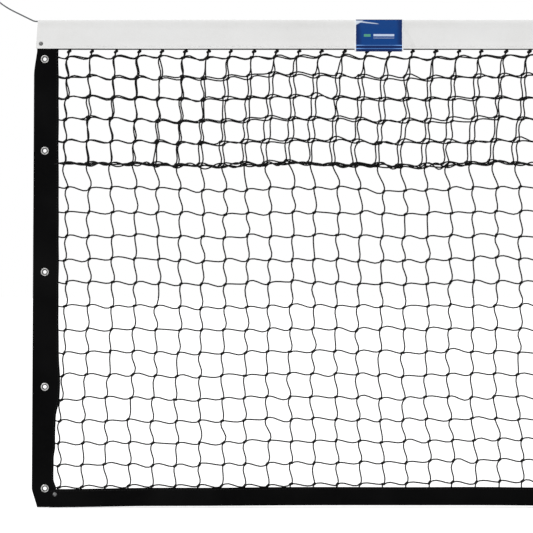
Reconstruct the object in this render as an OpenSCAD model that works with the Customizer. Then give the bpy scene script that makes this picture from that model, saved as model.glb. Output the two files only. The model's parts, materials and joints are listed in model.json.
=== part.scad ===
/* [Net] */
// Length between the outer edges of the two side tapes
net_len = 12720; // [3000:10:16000]
// Height from the top of the headband to the bottom edge of the bottom tape
net_h = 1070; // [850:5:1400]

/* [Netting] */
// Diameter of the braided twine
twine_d = 2.5; // [1.5:0.1:3.5]
// Width aimed at for one mesh
mesh_w = 51.4; // [40:0.1:90]
// Height aimed at for one mesh
mesh_h = 50; // [40:0.5:90]
// How much wider the rows hang apart at mid-height, as a share of a mesh
mid_open = 0.08; // [0:0.01:0.2]
// Distance from a side tape's inner edge to the first column of knots
first_column_gap = 7; // [3:1:30]
// Distance from the headband's lower edge down to the first row of knots
first_row_drop = 13; // [8:1:30]
// Distance from the bottom tape's upper edge up to the last row of knots
last_row_rise = 4; // [3:1:20]
// Distance from the grommets' rims to the ends of the rows, inside the side tapes
row_end_gap = 4; // [1:0.5:8]
// Number of mesh rows that are doubled below the headband
double_meshes = 5; // [1:1:8]
// Sideways shift of the second layer's columns
double_shift_x = 6; // [4:0.5:15]
// Downward shift of the second layer's rows
double_shift_z = 5; // [4:0.5:12]
// Diameter of the lacing that closes the second layer's lower edge
lacing_d = 3.2; // [2:0.1:4.5]

/* [Headband] */
// Height of the folded headband
headband_h = 63; // [45:1:90]
// Thickness of the headband's cloth
headband_wall = 1.2; // [0.6:0.1:2.5]
// Distance that the headband's ends stop short of the side tapes' outer edges
headband_inset = 5; // [0:1:15]
// Height of the headband's seam above its lower edge
headband_seam_rise = 5; // [4:0.5:12]

/* [Headline cable] */
// Diameter of the bare steel rope
core_d = 2.4; // [1.5:0.1:4]
// Thickness of the vinyl coat round the rope
coat_wall = 0.35; // [0.2:0.05:1]
// Distance that the straight cable runs past the headband's ends
cable_past = 1; // [0.5:0.5:5]

/* [Cable eyes] */
// Diameter of the hole in the thimble
eye_bore_d = 16; // [10:0.5:30]
// Radial thickness of the thimble from its hole to the bottom of its groove
thimble_web = 1.6; // [1:0.1:4]
// Width of the thimble
thimble_w = 6.4; // [5:0.1:12]
// Distance from the crimp sleeve to the centre of the thimble
eye_reach = 30; // [26:1:60]
// Length of the crimp sleeve
ferrule_len = 14; // [8:1:30]
// Wall of the crimp sleeve round the two rope legs
ferrule_wall = 1.4; // [0.8:0.1:3]

/* [Tapes] */
// Width of the side tapes
side_tape_w = 50; // [41:1:90]
// Height of the bottom tape
bottom_tape_h = 40; // [25:1:80]
// Thickness of the tapes' cloth
tape_wall = 0.8; // [0.5:0.1:1.5]
// Distance from the grommets' rims to the bottom tape's ends
bottom_tape_end_gap = 1.25; // [0.5:0.25:4]
// Width of the cut at the side tape's lower outer corner
corner_cut_w = 12; // [1:1:30]
// Height of the cut at the side tape's lower outer corner
corner_cut_h = 39; // [1:1:80]
// Distance from a tape's open edge to its seam
tape_seam_in = 4; // [1:0.5:8]
// Diameter of the sewing thread
thread_d = 0.8; // [0.4:0.1:1.2]

/* [Grommets] */
// Diameter of a grommet's hole
grommet_bore_d = 8; // [5:0.5:10]
// Outer diameter of a grommet's rim and washer
grommet_rim_d = 17.5; // [14:0.5:22]
// Wall of a grommet's barrel
grommet_wall = 0.7; // [0.5:0.1:1]
// Thickness of a grommet's rolled rim
grommet_rim_t = 1.2; // [0.8:0.1:2]
// Thickness of a grommet's washer
washer_t = 0.8; // [0.5:0.1:1.5]
// Distance from the net's outer edge to the grommets' centres
grommet_in = 22; // [14:0.5:27]
// Height of the lowest grommet above the bottom edge
grommet_low = 42; // [14:1:100]
// Spacing from the lowest grommet to the next one up
grommet_step_low = 223; // [60:1:270]
// Distance of the middle grommet below mid-height
grommet_mid_drop = 18; // [-60:1:60]
// Distance of the top grommet below the headband's lower edge
grommet_top = 23; // [16:1:60]
// Spacing from the top grommet to the next one down
grommet_step_top = 201; // [60:1:250]

/* [Rivets] */
// Diameter of a rivet's shank
rivet_d = 4; // [2:0.5:5]
// Diameter of a rivet's head
rivet_head_d = 9; // [6:0.5:11]
// Height of a rivet's head
rivet_head_h = 1.6; // [0.8:0.1:2.5]
// Distance from the headband's end to its rivet
headband_rivet_in = 8.5; // [5:0.5:20]
// Height of the headband's rivet above its lower edge
headband_rivet_rise = 11; // [5:0.5:40]
// Distance from a side tape's inner edge to its corner rivet
corner_rivet_in = 6; // [3:0.5:9]
// Distance of the corner rivets below the bottom tape's seam
corner_rivet_drop = 7; // [6:0.5:12]

/* [Label] */
// Distance from the net's outer edge to the label's printed face
label_in = 705; // [100:5:900]
// Width of the label's printed face
label_w = 101; // [40:1:150]
// Width of the backing that shows each side of the printed face
label_margin = 3; // [1:0.5:8]
// Thickness of the label's backing
backing_t = 0.5; // [0.3:0.1:1]
// Thickness of the label's printed face
label_t = 0.4; // [0.2:0.1:1]

/* [Clearances] */
// Gap between cloth or cord and a piece that it turns on
swing_fit = 0.3; // [0.2:0.05:0.6]
// Gap between twines that cross and between sewn pieces
lay_fit = 0.1; // [0.05:0.05:0.3]
// Gap round a shank, a barrel and the rope in its coat
pin_fit = 0.05; // [0.02:0.01:0.1]
// Angle that the netting swings to either side under the headband
skirt_swing = 45; // [20:5:45]

/* [Hidden] */

$fn = 32;

// Cable and headband. The frame's origin is on the cable's axis, at mid-length.
cable_r = core_d / 2 + pin_fit + coat_wall;
tunnel_r = cable_r + swing_fit;
headband_half = tunnel_r + headband_wall;
headband_len = net_len - 2 * headband_inset;
headband_low = headband_half - headband_h;
cable_len = headband_len + 2 * cable_past;
net_low = headband_half - net_h;

// Netting: columns lie in one plane and rows in the plane in front of it.
twine_r = twine_d / 2;
plane_y = twine_r + lay_fit / 2;
netting_half = plane_y + twine_r;

// The border cord is the pin that the netting swings on, held in the headband's mouth.
mouth_lift = swing_fit
    + max(0, netting_half * sin(skirt_swing) - tunnel_r * cos(skirt_swing));
border_r = norm([tunnel_r, mouth_lift]) - swing_fit;
hinge_z = headband_low - mouth_lift;

// Tapes are folded strips, and the bottom one laps over the side ones.
side_gap_half = netting_half + lay_fit;
side_half = side_gap_half + tape_wall;
bottom_gap_half = side_half + lay_fit;
bottom_half = bottom_gap_half + tape_wall;
side_low = net_low + tape_wall + lay_fit;
side_top = hinge_z - max(border_r + swing_fit,
    (side_half * sin(skirt_swing) - mouth_lift + swing_fit) / cos(skirt_swing));
side_tape_h = side_top - side_low;
bottom_tape_top = net_low + bottom_tape_h;
SEAM_STOP = 2; // how far a tape's seam stops short of the tape's ends
rim_edge = grommet_in + grommet_rim_d / 2;
bottom_tape_len = net_len - 2 * (rim_edge + bottom_tape_end_gap);
side_inner = net_len / 2 - side_tape_w;
corner_rivet_x = side_inner + corner_rivet_in;
corner_rivet_z = bottom_tape_top - tape_seam_in - corner_rivet_drop;

// Label: its backing lies on the headband, and its printed face on the backing.
label_x = -net_len / 2 + label_in + label_w / 2;
backing_inner = headband_half + lay_fit;
label_inner = backing_inner + backing_t + lay_fit;

// Knot lines
first_column_x = -(side_inner - first_column_gap);
column_count = round(-2 * first_column_x / mesh_w) + 1;
column_pitch = -2 * first_column_x / (column_count - 1);
column_top = hinge_z - border_r - swing_fit;
column_low = net_low + bottom_tape_h / 3;
row_high = headband_low - first_row_drop;
row_low = bottom_tape_top + last_row_rise;
row_count = round((row_high - row_low) / mesh_h) + 1;
row_len = net_len - 2 * (rim_edge + row_end_gap);
// The rows hang a little closer together at the top and bottom than at mid-height.
function row_z(k) = let (u = k / (row_count - 1))
    row_high + (row_low - row_high) * (u - mid_open * sin(360 * u) / (2 * PI));
second_low = row_z(double_meshes) - double_shift_z;
lacing_z = second_low - twine_r - lay_fit - lacing_d / 2;

grommet_heights = [
    net_low + grommet_low,
    net_low + grommet_low + grommet_step_low,
    net_low + net_h / 2 - grommet_mid_drop,
    headband_low - grommet_top - grommet_step_top,
    headband_low - grommet_top
];
barrel_r = grommet_bore_d / 2 + grommet_wall;
curl_d = (barrel_r + grommet_rim_t) * 2;

// A tail's route from the headband's end, outwards and upwards, to its crimp sleeve.
TAIL_ROUTE = [
    [0, 0], [3, 0.2], [6, 0.9], [9, 2.1], [13, 4], [20, 7.4], [30, 12.3], [42, 18.2],
    [54, 24.2], [64, 29.8], [74, 36.4], [84, 44], [92, 50.5], [100, 57.5], [106, 63]
];
TUBE_SIDES = 8;
tail_end = TAIL_ROUTE[len(TAIL_ROUTE) - 1];
tail_turn = turn_at(TAIL_ROUTE, len(TAIL_ROUTE) - 1);

// Eye: the rope's centre line runs in the thimble's groove.
groove_r = cable_r + swing_fit;
loop_r = eye_bore_d / 2 + thimble_web + groove_r;
leg_gap = cable_r + swing_fit / 2;
leg_turn = asin(loop_r / norm([eye_reach, leg_gap])) - atan(leg_gap / eye_reach);
LOOP_STEPS = 18;
thimble_rim_r = loop_r + 0.5;

CLOTH_WHITE = [0.93, 0.93, 0.93];
CLOTH_BLACK = [0.06, 0.06, 0.065];
TWINE_BLACK = [0.1, 0.1, 0.1];
THREAD_WHITE = [0.98, 0.98, 0.98];
CABLE_GREY = [0.28, 0.31, 0.34];
STEEL = [0.75, 0.76, 0.78];
LABEL_BLUE = [0.0, 0.2, 0.55];

// Angle of a route at point i, measured in its plane from the outward direction.
function heading(a, b) = atan2(b[1] - a[1], b[0] - a[0]);
function turn_at(route, i) =
    i == len(route) - 1 ? heading(route[i - 1], route[i])
    : i == 0 ? 0
    : let (before = heading(route[i - 1], route[i]), after = heading(route[i], route[i + 1]))
        before + (after - before) / 2;

// A round tube along a route that lies in the XZ plane, with a ring at each point.
module tube(route, turns, r) {
    last = len(route) - 1;
    points = [for (i = [0 : last]) for (k = [0 : TUBE_SIDES - 1])
        let (a = 360 * k / TUBE_SIDES)
        [route[i][0] - r * cos(a) * sin(turns[i]),
         r * sin(a),
         route[i][1] + r * cos(a) * cos(turns[i])]];
    function at(i, k) = i * TUBE_SIDES + k % TUBE_SIDES;
    sides = [for (i = [0 : last - 1]) for (k = [0 : TUBE_SIDES - 1])
        each [[at(i, k), at(i + 1, k), at(i + 1, k + 1)],
              [at(i, k), at(i + 1, k + 1), at(i, k + 1)]]];
    near = [for (k = [0 : TUBE_SIDES - 1]) k];
    far = [for (k = [TUBE_SIDES - 1 : -1 : 0]) at(last, k)];
    polyhedron(points = points, faces = concat(sides, [near, far]), convexity = 4);
}

// Places one side's parts: side is 1 at the right end and -1 at the left end.
module on_side(side) {
    if (side > 0)
        children();
    else
        mirror([1, 0, 0]) children();
}

// A straight round piece along X or Z, from its low end.
module rod_x(r, length) {
    rotate([0, 90, 0]) cylinder(r = r, h = length, $fn = 24);
}

module cable_core() {
    color(STEEL)
        translate([-cable_len / 2, 0, 0]) rod_x(core_d / 2, cable_len);
}

module cable_coat() {
    color(CABLE_GREY)
        translate([-cable_len / 2, 0, 0]) rotate([0, 90, 0])
            difference() {
                cylinder(r = cable_r, h = cable_len);
                translate([0, 0, -1]) cylinder(r = core_d / 2 + pin_fit, h = cable_len + 2);
            }
}

module cable_tail(side) {
    turns = [for (i = [0 : len(TAIL_ROUTE) - 1]) turn_at(TAIL_ROUTE, i)];
    color(CABLE_GREY)
        on_side(side) translate([cable_len / 2, 0, 0]) tube(TAIL_ROUTE, turns, cable_r);
}

// Puts the eye's parts at the tail's end, with X along the cable.
module at_eye(side) {
    on_side(side)
        translate([cable_len / 2 + tail_end[0], 0, tail_end[1]])
            rotate([0, -tail_turn, 0]) children();
}

// Crimp sleeve: one flat oval block that holds the rope and its turned-back end.
module ferrule(side) {
    sleeve_r = cable_r + ferrule_wall;
    color(STEEL)
        at_eye(side)
            rotate([0, 90, 0]) linear_extrude(ferrule_len) {
                square([2 * leg_gap, 2 * sleeve_r], center = true);
                for (end = [-1, 1])
                    translate([end * leg_gap, 0]) circle(r = sleeve_r);
            }
}

module eye_loop(side) {
    arc = 180 + 2 * leg_turn;
    arc_turns = [for (i = [0 : LOOP_STEPS]) leg_turn - arc * i / LOOP_STEPS];
    arc_points = [for (t = arc_turns)
        [eye_reach - loop_r * sin(t), loop_r * cos(t)]];
    route = concat([[0, leg_gap], [2, leg_gap + 0.2]], arc_points, [[2, -leg_gap - 0.2], [0, -leg_gap]]);
    turns = concat([0, leg_turn / 2], arc_turns, [180 - leg_turn / 2 - 360, -180]);
    color(CABLE_GREY)
        at_eye(side) translate([ferrule_len, 0, 0]) tube(route, turns, cable_r);
}

module thimble(side) {
    color(STEEL)
        at_eye(side) translate([ferrule_len + eye_reach, 0, 0]) rotate([90, 0, 0])
            rotate_extrude()
                difference() {
                    translate([eye_bore_d / 2, -thimble_w / 2])
                        square([thimble_rim_r - eye_bore_d / 2, thimble_w]);
                    translate([loop_r, 0]) circle(r = groove_r);
                    translate([loop_r, -groove_r]) square([groove_r, 2 * groove_r]);
                }
}

// The headband's section: a strip folded over the cable, open at its lower edge.
module headband_section() {
    difference() {
        union() {
            circle(r = headband_half);
            translate([-headband_half, headband_low]) square([2 * headband_half, -headband_low]);
        }
        circle(r = tunnel_r);
        translate([-tunnel_r, headband_low - 1]) square([2 * tunnel_r, 1 - headband_low]);
    }
}

// Extrudes a section drawn in the YZ plane along X, centred on x.
module along_x(x, length) {
    translate([x - length / 2, 0, 0]) rotate([90, 0, 90]) linear_extrude(length) children();
}

module headband() {
    rivet_z = headband_low + headband_rivet_rise;
    color(CLOTH_WHITE)
        difference() {
            along_x(0, headband_len) headband_section();
            for (side = [-1, 1])
                translate([side * (headband_len / 2 - headband_rivet_in), headband_half + 1, rivet_z])
                    rotate([90, 0, 0])
                        cylinder(d = rivet_d + 2 * pin_fit, h = 2 * headband_half + 2);
        }
}

// A row of sewing on the front and on the back of a piece, lying on its faces.
module seam_x(x0, x1, half, z) {
    for (side = [-1, 1])
        translate([x0, side * (half + lay_fit / 2 + thread_d / 2), z]) rod_x(thread_d / 2, x1 - x0);
}

module headband_seams() {
    z = headband_low + headband_seam_rise;
    start = -headband_len / 2 + headband_rivet_in + rivet_head_d;
    label_start = -net_len / 2 + label_in - label_margin;
    label_end = label_start + label_w + 2 * label_margin;
    color(THREAD_WHITE) {
        seam_x(start, label_start - 1, headband_half, z);
        seam_x(label_end + 1, -start, headband_half, z);
    }
}

// A tubular rivet along Y: a shank through the piece and a low domed head on each face.
module rivet(x, z, half) {
    seat = half + lay_fit / 2;
    dome_r = (pow(rivet_head_d / 2, 2) + pow(rivet_head_h, 2)) / (2 * rivet_head_h);
    translate([x, 0, z]) rotate([90, 0, 0])
        rotate_extrude() {
            translate([0, -seat]) square([rivet_d / 2, 2 * seat]);
            for (face = [0, 1])
                mirror([0, face]) intersection() {
                    translate([0, seat + rivet_head_h - dome_r]) circle(r = dome_r, $fn = 96);
                    translate([0, seat]) square([rivet_head_d / 2, rivet_head_h]);
                }
        }
}

module headband_rivets() {
    color(STEEL)
        for (side = [-1, 1])
            rivet(side * (headband_len / 2 - headband_rivet_in),
                headband_low + headband_rivet_rise, headband_half);
}

module corner_rivets() {
    color(STEEL)
        for (side = [-1, 1])
            rivet(side * corner_rivet_x, corner_rivet_z, bottom_half);
}

// A sheet of one thickness laid over the headband's top and down both its faces.
module saddle(x, width, inner, thickness) {
    along_x(x, width)
        difference() {
            union() {
                circle(r = inner + thickness);
                translate([-inner - thickness, headband_low])
                    square([2 * (inner + thickness), -headband_low]);
            }
            circle(r = inner);
            translate([-inner, headband_low - 1]) square([2 * inner, 1 - headband_low]);
        }
}

module label_backing() {
    color(CLOTH_WHITE) saddle(label_x, label_w + 2 * label_margin, backing_inner, backing_t);
}

module label_face() {
    color(LABEL_BLUE) saddle(label_x, label_w, label_inner, label_t);
}

module top_border_cord() {
    color(TWINE_BLACK)
        translate([-headband_len / 2, 0, hinge_z]) rod_x(border_r, headband_len);
}

module column(x, low, high) {
    translate([x, plane_y, low]) cylinder(r = twine_r, h = high - low, $fn = 16);
}

module row(z, length) {
    translate([-length / 2, -plane_y, z]) rotate([0, 90, 0])
        cylinder(r = twine_r, h = length, $fn = 16);
}

module netting_columns() {
    color(TWINE_BLACK)
        for (i = [0 : column_count - 1])
            column(first_column_x + i * column_pitch, column_low, column_top);
}

module netting_rows() {
    color(TWINE_BLACK)
        for (k = [0 : row_count - 1])
            row(row_z(k), row_len);
}

// The second layer ends one lacing below its last row.
module second_layer_columns() {
    low = second_low - twine_r - lay_fit;
    color(TWINE_BLACK)
        for (i = [0 : column_count - 2])
            column(first_column_x + double_shift_x + i * column_pitch, low, column_top);
}

module second_layer_rows() {
    color(TWINE_BLACK)
        for (k = [0 : double_meshes])
            row(row_z(k) - double_shift_z, row_len);
}

module second_layer_lacing() {
    length = 2 * (side_inner - swing_fit);
    color(TWINE_BLACK)
        translate([-length / 2, plane_y - twine_r - lay_fit - lacing_d / 2, lacing_z])
            rod_x(lacing_d / 2, length);
}

// Side tape: a strip folded at the net's outer edge, with its lower outer corner cut off.
module side_tape(side) {
    outer = net_len / 2;
    color(CLOTH_BLACK)
        on_side(side)
            difference() {
                translate([0, 0, side_low]) linear_extrude(side_tape_h)
                    difference() {
                        translate([side_inner, -side_half])
                            square([side_tape_w, 2 * side_half]);
                        translate([side_inner - 1, -side_gap_half])
                            square([side_tape_w + 1 - tape_wall, 2 * side_gap_half]);
                    }
                for (z = grommet_heights)
                    translate([outer - grommet_in, side_half + 1, z]) rotate([90, 0, 0])
                        cylinder(r = barrel_r + pin_fit, h = 2 * side_half + 2);
                translate([corner_rivet_x, side_half + 1, corner_rivet_z])
                    rotate([90, 0, 0]) cylinder(d = rivet_d + 2 * pin_fit, h = 2 * side_half + 2);
                translate([0, side_half + 1, 0]) rotate([90, 0, 0])
                    linear_extrude(2 * side_half + 2)
                        polygon([
                            [outer - corner_cut_w, side_low],
                            [outer - corner_cut_w, side_low - 1],
                            [outer + 1, side_low - 1],
                            [outer + 1, side_low + corner_cut_h],
                            [outer, side_low + corner_cut_h]
                        ]);
            }
}

module side_seams(side) {
    low = bottom_tape_top + SEAM_STOP;
    color(TWINE_BLACK)
        on_side(side)
            for (face = [-1, 1])
                translate([side_inner + tape_seam_in,
                        face * (side_half + lay_fit / 2 + thread_d / 2), low])
                    cylinder(r = thread_d / 2, h = side_top - SEAM_STOP - low, $fn = 16);
}

// Bottom tape: a strip folded at the net's lower edge, its ends lapped over the side tapes.
module bottom_tape() {
    color(CLOTH_BLACK)
        difference() {
            along_x(0, bottom_tape_len)
                difference() {
                    translate([-bottom_half, net_low])
                        square([2 * bottom_half, bottom_tape_h]);
                    translate([-bottom_gap_half, net_low + tape_wall])
                        square([2 * bottom_gap_half, bottom_tape_h]);
                }
            for (side = [-1, 1])
                translate([side * corner_rivet_x, bottom_half + 1, corner_rivet_z])
                    rotate([90, 0, 0])
                        cylinder(d = rivet_d + 2 * pin_fit, h = 2 * bottom_half + 2);
        }
}

module bottom_seams() {
    start = -bottom_tape_len / 2 + SEAM_STOP;
    color(TWINE_BLACK)
        seam_x(start, -start, bottom_half, bottom_tape_top - tape_seam_in);
}

// A ring with rounded inner and outer rims, drawn on its radius and its height.
module rounded_ring(inner, outer, thickness) {
    half = thickness / 2;
    translate([inner + half, -half]) square([outer - inner - thickness, thickness]);
    for (r = [inner + half, outer - half])
        translate([r, 0]) circle(r = half);
}

// Places children at each grommet, with Z along the hole towards the front.
module at_grommets(side) {
    on_side(side)
        for (z = grommet_heights)
            translate([net_len / 2 - grommet_in, 0, z]) rotate([90, 0, 0]) children();
}

// Grommet: rim at the front, barrel through the tape, end curled over the washer.
module grommets(side) {
    front = side_half + lay_fit / 2 + grommet_rim_t / 2;
    back = side_half + lay_fit + washer_t + lay_fit / 2 + grommet_rim_t / 2;
    color(STEEL)
        at_grommets(side)
            rotate_extrude() {
                translate([grommet_bore_d / 2, -back]) square([grommet_wall, front + back]);
                translate([0, front]) rounded_ring(grommet_bore_d / 2, grommet_rim_d / 2, grommet_rim_t);
                translate([0, -back]) rounded_ring(grommet_bore_d / 2, curl_d / 2, grommet_rim_t);
            }
}

module grommet_washers(side) {
    color(STEEL)
        at_grommets(side)
            translate([0, 0, -side_half - lay_fit / 2 - washer_t])
                difference() {
                    cylinder(d = grommet_rim_d, h = washer_t);
                    translate([0, 0, -1]) cylinder(r = barrel_r + pin_fit, h = washer_t + 2);
                }
}

cable_core();
cable_coat();
cable_tail(-1);  // cable_tail_left
cable_tail(1);  // cable_tail_right
eye_loop(-1);  // eye_loop_left
eye_loop(1);  // eye_loop_right
thimble(-1);  // thimble_left
thimble(1);  // thimble_right
ferrule(-1);  // ferrule_left
ferrule(1);  // ferrule_right
headband();
headband_seams();
headband_rivets();
label_backing();
label_face();
top_border_cord();
netting_columns();
netting_rows();
second_layer_columns();
second_layer_rows();
second_layer_lacing();
side_tape(-1);  // side_tape_left
side_tape(1);  // side_tape_right
side_seams(-1);  // side_seams_left
side_seams(1);  // side_seams_right
bottom_tape();
bottom_seams();
grommets(-1);  // grommets_left
grommets(1);  // grommets_right
grommet_washers(-1);  // grommet_washers_left
grommet_washers(1);  // grommet_washers_right
corner_rivets();
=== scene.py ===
"""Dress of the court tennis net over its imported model.

Each class builds one sub-assembly: the headline cable's ends, the headband, the label, the
netting, the tapes, the sewing and the metal fittings. All lengths are in metres.
"""

import json
import logging
import math
from dataclasses import dataclass, field, fields
from enum import Enum

import bpy
import numpy as np
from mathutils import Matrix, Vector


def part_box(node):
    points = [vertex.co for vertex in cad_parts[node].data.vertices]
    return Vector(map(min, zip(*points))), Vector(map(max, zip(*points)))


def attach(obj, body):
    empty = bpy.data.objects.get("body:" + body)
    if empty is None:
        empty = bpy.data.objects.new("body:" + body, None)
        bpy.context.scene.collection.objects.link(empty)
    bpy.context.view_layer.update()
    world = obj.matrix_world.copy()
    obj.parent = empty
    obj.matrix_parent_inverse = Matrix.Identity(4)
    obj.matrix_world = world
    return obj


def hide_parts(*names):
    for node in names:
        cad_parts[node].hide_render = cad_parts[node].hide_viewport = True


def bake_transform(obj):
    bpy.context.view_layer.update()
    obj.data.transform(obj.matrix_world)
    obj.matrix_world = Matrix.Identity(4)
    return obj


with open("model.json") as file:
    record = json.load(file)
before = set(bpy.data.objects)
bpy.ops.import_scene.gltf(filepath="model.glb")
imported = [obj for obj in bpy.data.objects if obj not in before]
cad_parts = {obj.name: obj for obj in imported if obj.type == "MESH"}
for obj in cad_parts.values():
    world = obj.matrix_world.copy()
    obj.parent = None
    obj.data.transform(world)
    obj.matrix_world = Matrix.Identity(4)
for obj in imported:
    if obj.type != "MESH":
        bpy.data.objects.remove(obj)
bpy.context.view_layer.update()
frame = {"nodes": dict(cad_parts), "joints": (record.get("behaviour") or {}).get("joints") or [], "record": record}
NODES = frame["nodes"]
MOUNTS = {mount["name"]: mount for mount in frame["record"]["mounts"]}
HINGE_Z = next(j["pos_m"][2] for j in frame["joints"] if j["child"] == "netting")
LOG = logging.getLogger("tennis_net")
Array = np.ndarray
Color = tuple[float, float, float]
MM = 0.001
HALF_LENGTH = 6.36
TUBE_SHIFT = 0.37
SHARP_EDGE = math.radians(62)
THREAD_RADIUS = 0.42 * MM
THREAD_SWELL = (0.45, 1.0, 0.45)


class Side(Enum):
    """An end of the net, as the sign of its X."""

    LEFT = -1
    RIGHT = 1


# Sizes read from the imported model


def span(node: str) -> tuple[Array, Array]:
    """The lowest and highest corner of a CAD node, as arrays."""
    low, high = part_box(node)
    return np.array(low), np.array(high)


def centres(node: str, axis: int, apart: float = 6 * MM) -> Array:
    """The middles of a node's parallel twines along one axis.

    The node's sorted coordinates are cut wherever two neighbours lie further apart than one
    twine is thick, and each run's middle is halfway between its two ends.

    Args:
        node: name of the CAD node.
        axis: 0 for X, 1 for Y, 2 for Z.
        apart: the least gap between two twines.

    Returns:
        The middles in rising order.
    """
    mesh = NODES[node].data
    points = np.zeros(len(mesh.vertices) * 3)
    mesh.vertices.foreach_get("co", points)
    values = np.unique(np.round(points.reshape(-1, 3)[:, axis], 6))
    cut = np.flatnonzero(np.diff(values) > apart)
    starts = np.concatenate([[0], cut + 1])
    ends = np.concatenate([cut, [len(values) - 1]])
    return (values[starts] + values[ends]) / 2


# Shapes


def waves(seed: int, *axes: tuple[Array, float]) -> Array:
    """Smooth noise: the sum of seven sine waves whose directions and phases are drawn once.

    Args:
        seed: number that fixes the draw.
        axes: pairs of a coordinate array and the length of a usual wave along it.

    Returns:
        Values spread about 0, mostly between -1 and 1.
    """
    draw = np.random.default_rng(seed)
    total = 0.0
    for _ in range(7):
        phase = draw.uniform(0, 2 * math.pi)
        for values, length in axes:
            phase = phase + 2 * math.pi * values / length * draw.uniform(-1.4, 1.4)
        total = total + np.sin(phase)
    return total / 3.0


def cosine(run: Array, length: float) -> Array:
    """A cosine wave of that length, 1 where the run is 0."""
    return np.cos(2 * math.pi * run / length)


def smooth(values: Array, low: float, high: float) -> Array:
    """Rises from 0 at low to 1 at high along 3t^2 - 2t^3."""
    t = np.clip((values - low) / (high - low), 0, 1)
    return t * t * (3 - 2 * t)


def bump(values: Array, middle: float, width: float) -> Array:
    """A bell curve, 1 at the middle and e^-1 a width away from it."""
    return np.exp(-(((values - middle) / width) ** 2))


def hermite(starts: Array, ends: Array, leave: Array, enter: Array, steps: Array) -> Array:
    """Cubic curves between many pairs of points at once.

    At t from 0 to 1 a curve is (2t^3-3t^2+1) start + (t^3-2t^2+t) leave
    + (3t^2-2t^3) end + (t^3-t^2) enter.

    Args:
        starts: first points, (N, 3).
        ends: last points, (N, 3).
        leave: directions and speeds at the first points, (N, 3).
        enter: the same at the last points, (N, 3).
        steps: the values of t at a curve's points, (R,).

    Returns:
        Points, (N, R, 3).
    """
    t = steps[:, None]
    return (
        (2 * t**3 - 3 * t**2 + 1) * starts[:, None]
        + (t**3 - 2 * t**2 + t) * leave[:, None]
        + (3 * t**2 - 2 * t**3) * ends[:, None]
        + (t**3 - t**2) * enter[:, None]
    )


def strips(near: Array, far: Array) -> Array:
    """Quads between two stacks of rings of point numbers, (..., K), closed round the rings."""
    return np.stack([near, far, np.roll(far, -1, -1), np.roll(near, -1, -1)], -1).reshape(-1, 4)


def strip_uvs(u: Array, v: Array) -> Array:
    """The UVs at the corners of such quads.

    Args:
        u: values at the rings, (N, R + 1).
        v: values at the steps round a ring, (K + 1,).

    Returns:
        UVs, (N R K, 4, 2).
    """
    u = np.stack([u[:, :-1], u[:, 1:], u[:, 1:], u[:, :-1]], -1)[:, :, None]
    v = np.stack([v[:-1], v[:-1], v[1:], v[1:]], -1)
    return np.stack(np.broadcast_arrays(u, v), -1).reshape(-1, 4, 2)


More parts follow.
